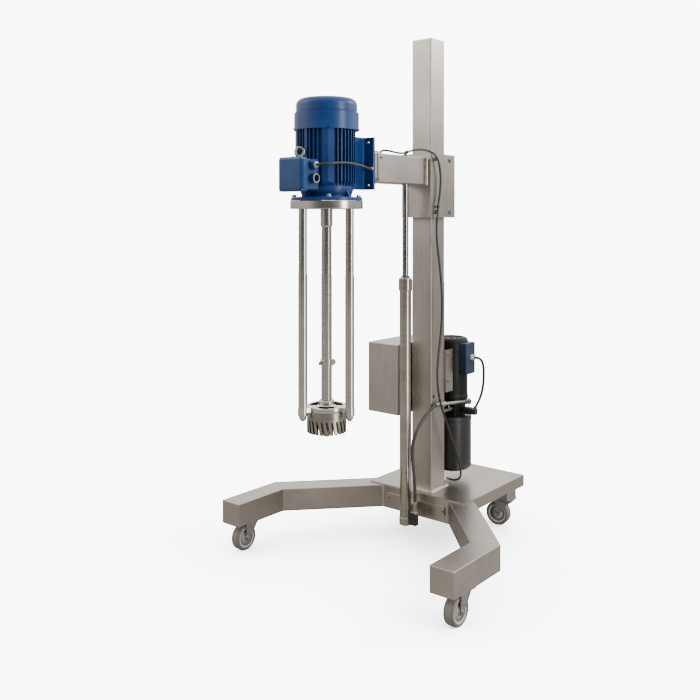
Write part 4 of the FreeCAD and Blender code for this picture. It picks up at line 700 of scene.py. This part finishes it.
def dressMachine():
    dress(groundSteel("groundBar"), "support_rods", "mixer_shaft", "propeller")
    dress(groundSteel("turnedPlate", tone="#dad4cd", dark="#bdb7b0"), "support_plate", "head_ring")
    # the stator's slot walls are given painted shade, a darker colour inside the given radius
    dress(groundSteel("milledHead", tone="#aaa39b", dark="#7f7971", rough=(0.22, 0.36),
                      slotShade={"inside": 0.0788, "shade": "#3a3632"}), "stator")
    # painted shade: the rotor sits deep inside the stator, so its steel is given a much darker tone than
    # the other turned parts
    dress(groundSteel("rotorPaintedShade", tone="#6d6862", dark="#4d4844", rough=(0.28, 0.42)), "rotor")
    dress(groundSteel("honedCylinder", tone="#b6aea5", dark="#9a9289"), "cylinder_barrel", "cylinder_caps")
    dress(hardChrome("hardChromeRod"), "piston_rod")
    dress(zincPlate("brightZinc"), "base_fasteners", "pressure_pipe", "caster_plates",
          *["fork_" + corner for corner in cornerNames])
    dress(patchedZinc("zincAndNylonClips", [place(65, -269, 1821.5), place(96, -61.5, 1579)], 0.018),
          "carriage_fasteners")
    dress(patchedZinc("zincAndBlackElbow", [place(32, -187.7, 135)], 0.047), "hose_coupling")
    dress(enamel("castBlueEnamel", enamelSet["blue"], cast=0.5), "motor_frame", "motor_bell")
    dress(enamel("sheetBlueEnamel", enamelSet["sheetBlue"], rough=(0.30, 0.38)), "motor_cowl")
    dress(enamel("boxBlueEnamel", enamelSet["boxBlue"], rough=(0.3, 0.4)), "terminal_box", "terminal_lid")
    dress(enamel("darkBlueEnamel", enamelSet["darkBlue"]), "pack_terminal_box")
    dress(enamel("blackEnamel", enamelSet["black"], rough=(0.28, 0.42), cast=0.2, shine=0.55),
          "pack_tank", "enclosure_rails")
    dress(enamel("packBlackEnamel", enamelSet["packBlack"], rough=(0.4, 0.55), cast=0.3, gloss=0.0,
                 shine=0.22), "pack_manifold", "pack_motor")
    dress(moulded("blackNylon", "#232220", "#171615"), "solenoid_valve", "guide_shoes", "motor_fan",
          "main_switch", "lift_selector")
    dress(driveCase("louvredDriveCase", *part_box("drive_unit")), "drive_unit")
    dress(moulded("whiteGland", "#d8d6d0", "#c2bfb8", rough=(0.35, 0.5)), "base_glands")
    dress(moulded("greenButton", "#1f8a43", "#177338", rough=(0.2, 0.3)), "start_button")
    dress(moulded("redButton", "#c0281f", "#a32019", rough=(0.2, 0.3)), "stop_button")
    dress(zincPlate("varnishedCore", tone="#5c5347", dark="#3c352d"), "motor_core")
    for corner in cornerNames:
        centre, axle = wheelPlace(corner)
        dress(wheelRubber("casterWheel" + corner.title().replace("_", ""), centre, axle), "wheel_" + corner)


def dressCords():
    for name, piece in cords.items():
        if name == "hoseFerrule":
            skin = zincPlate("crimpedSteel", tone="#a9a7a4", dark="#85837f")
        elif name == "hydraulicHose":
            skin = moulded("hoseRubber", "#383634", "#272523", rough=(0.35, 0.5), grainMm=2.2)
        else:
            skin = moulded("cableSheath" + name[0].upper() + name[1:], "#2b2927", "#1b1a19",
                           rough=(0.32, 0.45))
        piece.data.materials.clear()
        piece.data.materials.append(skin)


dressFrame()
dressMachine()
dressCords()
print("finishes on", len(bpy.data.materials), "materials")


# Detail pieces on top of the CAD nodes. Spots are millimetres round the column, and a profile is a list of
# radius and height along the piece's own axis.

weldSpots = {"foot": (0, 0, 242.7), "beamLow": 136, "beamHigh": 236.5, "armRear": (0, -102.3, 1744),
             "armFront": (0, -556, 1744)}


def makeWelds():
    # round the column's foot, up the corners between beam and legs, and round both ends of the arm
    metal = weldMetal("rippledWeld")
    foot = weldRing(weldSpots["foot"], (1, 0, 0), (0, 1, 0), weldSet["footHalf"], weldSet["footCorner"],
                    weldSet["footLeg"])
    x, y = legSet["beam"]
    low, high = weldSpots["beamLow"], weldSpots["beamHigh"]
    corners = [weldRun((side * x, y, low), (side * x, y, high), (-side, 0, 0),
                       (side * diagonalRun[0], diagonalRun[1], 0), weldSet["beamLeg"]) for side in (-1, 1)]
    makePiece("frameWelds", [foot] + corners, "base", metal)
    ends = [weldRing(weldSpots[end], (turn, 0, 0), (0, 0, 1), weldSet["armHalf"], weldSet["armCorner"],
                     weldSet["armLeg"]) for end, turn in (("armRear", 1), ("armFront", -1))]
    makePiece("armWelds", ends, "carriage", metal)


screwSet = {"pan": [(5.0, -1.0), (5.2, 0.6), (4.9, 1.8), (3.9, 2.8), (2.3, 3.4)],
            "cheese": [(4.4, -1.5), (5.0, 0.4), (5.0, 5.4), (4.2, 6.4), (2.4, 6.8)],
            "cowlRadius": 133.5, "cowlHeight": 1890, "firstTurn": 45, "arm": (60, -450, 1788),
            "lidX": 58.5, "lidY": -949, "lidHeights": (1637, 1758), "steps": 24}
glandSet = {"open": [(14.2, -1.0), (14.2, 2.0), (15.0, 2.6), (17.6, 2.6), (18.6, 1.8), (18.6, -1.0)],
            "closed": [(5.4, -1.0), (5.4, 3.4), (6.4, 4.4), (10.8, 4.0), (13.4, 1.8), (13.4, -1.0)],
            "openSpot": (80, -895, 1682), "closedSpot": (80, -895, 1735)}


def makeMotorTrim():
    # four pan-head screws through the cowl's rim and one on the arm, four cheese-head screws that stand in
    # the pockets of the terminal lid, and the rims of both cable glands
    steps = screwSet["steps"]
    screws = []
    for quarter in range(4):
        angle = math.radians(screwSet["firstTurn"] + 90 * quarter)
        way = (math.cos(angle), math.sin(angle), 0)
        spot = [axis + screwSet["cowlRadius"] * part for axis, part in zip(motorAxis[:2], way)]
        screws.append(turnedShape(screwSet["pan"], place(*spot, screwSet["cowlHeight"]), way, steps))
    screws.append(turnedShape(screwSet["pan"], place(*screwSet["arm"]), (1, 0, 0), steps))
    makePiece("cowlScrews", screws, "carriage",
              zincPlate("blackScrewZinc", tone="#4a4845", dark="#2b2a28"))
    lidSpots = [place(side * screwSet["lidX"], screwSet["lidY"], height)
                for side in (-1, 1) for height in screwSet["lidHeights"]]
    heads = [turnedShape(screwSet["cheese"], spot, (0, -1, 0), steps) for spot in lidSpots]
    makePiece("lidScrews", heads, "carriage",
              zincPlate("brightScrewZinc", tone="#d2d0cc", dark="#aeaca9"))
    rims = [turnedShape(glandSet[kind], place(*glandSet[kind + "Spot"]), (1, 0, 0), loop=True)
            for kind in ("open", "closed")]
    makePiece("glandRims", rims, "carriage",
              zincPlate("nickelGland", tone="#c9c6c1", dark="#9b9893"))


sealSet = {"wiper": [(14.4, -1.0), (14.4, 4.0), (15.4, 5.2), (18.6, 4.4), (20.4, 2.2), (20.4, -1.0)],
           "plug": [(7.5, -1.0), (7.6, 1.0), (6.6, 2.6), (4.0, 3.6)],
           "grommet": [(5.3, -1.0), (5.3, 3.0), (6.4, 4.2), (9.4, 3.6), (10.8, 1.6), (10.8, -1.0)],
           "wiperSpot": (0, -187.7, 1254), "plugSpot": (54.35, -36, 684), "grommetSpot": (38, -432, 1807)}


def makeSeals():
    # wiper ring round the lift rod, plug in the column's side, and grommet at the arm's cable hole
    rubber = moulded("sealRubber", "#24221f", "#191816", rough=(0.4, 0.55))
    wiper = turnedShape(sealSet["wiper"], place(*sealSet["wiperSpot"]), loop=True)
    plug = turnedShape(sealSet["plug"], place(*sealSet["plugSpot"]), (1, 0, 0), steps=32)
    makePiece("rodWiper", [wiper, plug], "base", rubber)
    grommet = turnedShape(sealSet["grommet"], place(*sealSet["grommetSpot"]), loop=True)
    makePiece("armGrommet", [grommet], "carriage", rubber)


guardProfile = [(17.5, 12.0), (17.5, 17.2), (18.6, 18.0), (22.4, 18.0), (24.2, 16.4), (24.6, 12.0)]


def makeWheelTrim():
    # thread guard: the raised ring on each face of a hub, round the axle's boss
    grey = moulded("threadGuard", "#b3b0aa", "#98958f", rough=(0.4, 0.5))
    for corner in cornerNames:
        centre, axle = wheelPlace(corner)
        rings = [turnedShape(guardProfile, centre, tuple(side * part for part in axle), steps=40, loop=True)
                 for side in (-1, 1)]
        name = "threadGuard" + corner.title().replace("_", "")
        makePiece(name, rings, "wheel_" + corner, grey)


# Controls on the door: Y, height and hole radius of the main switch, start, stop and lift selector
doorSet = {"controls": ((40, 849, 18.2), (40, 787, 12.2), (-40, 787, 12.2), (-40, 849, 14.2)),
           "bezel": [(0, -0.5), (0, 0.7), (0.6, 1.4), (3.4, 1.4), (4.2, 0.5), (4.2, -0.5)], "faceX": -240.3,
           "dot": [(1.9, -0.6), (2.0, 0.5), (1.4, 0.9)], "dialX": -260.3, "dialHeight": 849,
           "dials": (("mainPointer", 40, 9.0, "main_switch_knob"),
                     ("liftPointer", -40, 6.0, "lift_selector_knob"))}


def makeDoorTrim():
    # a bright bezel round each control, and a white dot on each of the two dials
    bright = zincPlate("satinBezel", tone="#cbc8c3", dark="#a8a5a0")
    white = moulded("whitePointer", "#e2e0da", "#cfcdc6")
    profile, faceX = np.array(doorSet["bezel"]), doorSet["faceX"]
    bezels = [turnedShape(profile + (radius, 0), place(faceX, y, z), (-1, 0, 0), loop=True)
              for y, z, radius in doorSet["controls"]]
    makePiece("doorBezels", bezels, "door", bright)
    for name, y, reach, body in doorSet["dials"]:
        spot = place(doorSet["dialX"], y, doorSet["dialHeight"] + reach)
        dot = turnedShape(doorSet["dot"], spot, (-1, 0, 0), steps=24)
        makePiece(name, [dot], body, white)


seamSet = {"axis": (0, 205), "heights": (306, 534), "steps": 96,
           "profile": [(94.6, -4.0), (95.6, -3.2), (96.6, -1.4), (96.6, 1.4), (95.6, 3.2), (94.6, 4.0)]}
crimpSet = {"axis": (54, -187.7), "heights": (189, 196, 203, 210, 217), "steps": 48,
            "profile": [(9.0, -2.2), (9.9, -1.8), (10.2, 0.0), (9.9, 1.8), (9.0, 2.2)]}


def stackedRings(rings):
    return [turnedShape(rings["profile"], place(*rings["axis"], z), steps=rings["steps"], loop=True)
            for z in rings["heights"]]


def makePackTrim():
    # rolled seams of the tank, and crimped rings on the hose's steel end
    makePiece("tankSeams", stackedRings(seamSet), "base",
              enamel("seamBlackEnamel", enamelSet["black"], rough=(0.24, 0.36)))
    makePiece("hoseCrimps", stackedRings(crimpSet), "base",
              zincPlate("crimpedZinc", tone="#a9a7a4", dark="#85837f"))


makeWelds()
makeMotorTrim()
makeSeals()
makeWheelTrim()
makeDoorTrim()
makePackTrim()
print("detail pieces on")


# Studio: a white backdrop with soft shadows on the floor, as on a catalogue page. The room is dim at eye
# height and bright above, so upright steel shades from pale at the top to darker at the foot.
studioSet = {"backdrop": 9.5, "sky": 5.0, "camera": (0.592, -0.806, 0.0), "facing": (0.55, 0.95),
             "dark": 0.2, "white": (1, 1, 1, 1),
             "rise": ((0.0, 0.07), (0.49, 0.075), (0.53, 0.17), (0.60, 0.40), (0.75, 0.36), (1.0, 0.30)),
             "tint": (1.0, 0.992, 0.975), "floor": "#989591", "floorHalf": 14.0, "floorRough": 0.9}
panelSet = {
    "windowPanel": {"spot": (2.7, 3.4, 3.7), "aim": (0.0, 0.0, 2.1), "size": (2.4, 1.6), "power": 75},
    "stripPanel": {"spot": (2.2, -0.22, 1.5), "aim": (0.0, -0.4, 1.4), "size": (0.6, 2.8), "power": 42},
    "fillPanel": {"spot": (-2.4, -2.9, 3.3), "aim": (0.0, 0.0, 2.0), "size": (1.8, 1.6), "power": 22},
    "topPanel": {"spot": (-0.6, 0.6, 4.6), "aim": (0.0, -0.1, 0.2), "size": (3.0, 3.0), "power": 27},
}


def makeRoom():
    world = bpy.data.worlds.new("studioRoom")
    bpy.context.scene.world = world
    world.use_nodes = True
    tree = world.node_tree
    back = next(n for n in tree.nodes if n.type == "BACKGROUND")
    out = next(n for n in tree.nodes if n.type == "OUTPUT_WORLD")
    way = addNode(tree, "ShaderNodeTexCoord").outputs["Generated"]
    height = addNode(tree, "ShaderNodeSeparateXYZ", {0: way}).outputs[2]
    height = maths(tree, "MULTIPLY_ADD", height, 0.5, 0.5)  # from -1..1 to 0..1
    ramp = addNode(tree, "ShaderNodeValToRGB", {"Fac": height})
    stops = ramp.color_ramp.elements
    for step, (spot, value) in enumerate(studioSet["rise"]):
        stop = stops[step] if step < 2 else stops.new(spot)
        stop.position = spot
        stop.color = (*(value * part for part in studioSet["tint"]), 1)
    tree.links.new(ramp.outputs[0], back.inputs["Color"])
    # the room is darkest behind the camera, so polished rounds keep a dark core
    facing = vectorMaths(tree, "DOT_PRODUCT", way, studioSet["camera"])
    near, far = studioSet["facing"]
    power = addNode(tree, "ShaderNodeMapRange", {"Value": facing, "From Min": near,
                                                 "From Max": far, "To Min": studioSet["sky"],
                                                 "To Max": studioSet["sky"] * studioSet["dark"]})
    tree.links.new(power.outputs[0], back.inputs["Strength"])
    plain = addNode(tree, "ShaderNodeBackground", {"Color": studioSet["white"],
                                                   "Strength": studioSet["backdrop"]})
    seen = addNode(tree, "ShaderNodeLightPath").outputs["Is Camera Ray"]
    both = addNode(tree, "ShaderNodeMixShader", {0: seen, 1: back.outputs[0], 2: plain.outputs[0]})
    tree.links.new(both.outputs[0], out.inputs["Surface"])


def makeFloor():
    # takes only the shadows, so that the backdrop runs on down to the picture's lower edge
    half = studioSet["floorHalf"]
    mesh = bpy.data.meshes.new("studioFloor")
    corners = [(-half, -half, 0), (half, -half, 0), (half, half, 0), (-half, half, 0)]
    mesh.from_pydata(corners, [], [(0, 1, 2, 3)])
    floor = bpy.data.objects.new("studioFloor", mesh)
    bpy.context.scene.collection.objects.link(floor)
    material, _, shader = startMaterial("paleFloor", Roughness=studioSet["floorRough"])
    shader.inputs["Base Color"].default_value = linear(studioSet["floor"])
    mesh.materials.append(material)
    floor.is_shadow_catcher = True


def makePanels():
    for name, panel in panelSet.items():
        data = bpy.data.lights.new(name, "AREA")
        data.shape = "RECTANGLE"
        data.size, data.size_y = panel["size"]
        data.energy = panel["power"]
        light = bpy.data.objects.new(name, data)
        light.location = panel["spot"]
        aim = Vector(panel["aim"]) - Vector(panel["spot"])
        light.rotation_euler = aim.to_track_quat("-Z", "Y").to_euler()
        bpy.context.scene.collection.objects.link(light)


makeRoom()
makeFloor()
makePanels()
print("studio lit")
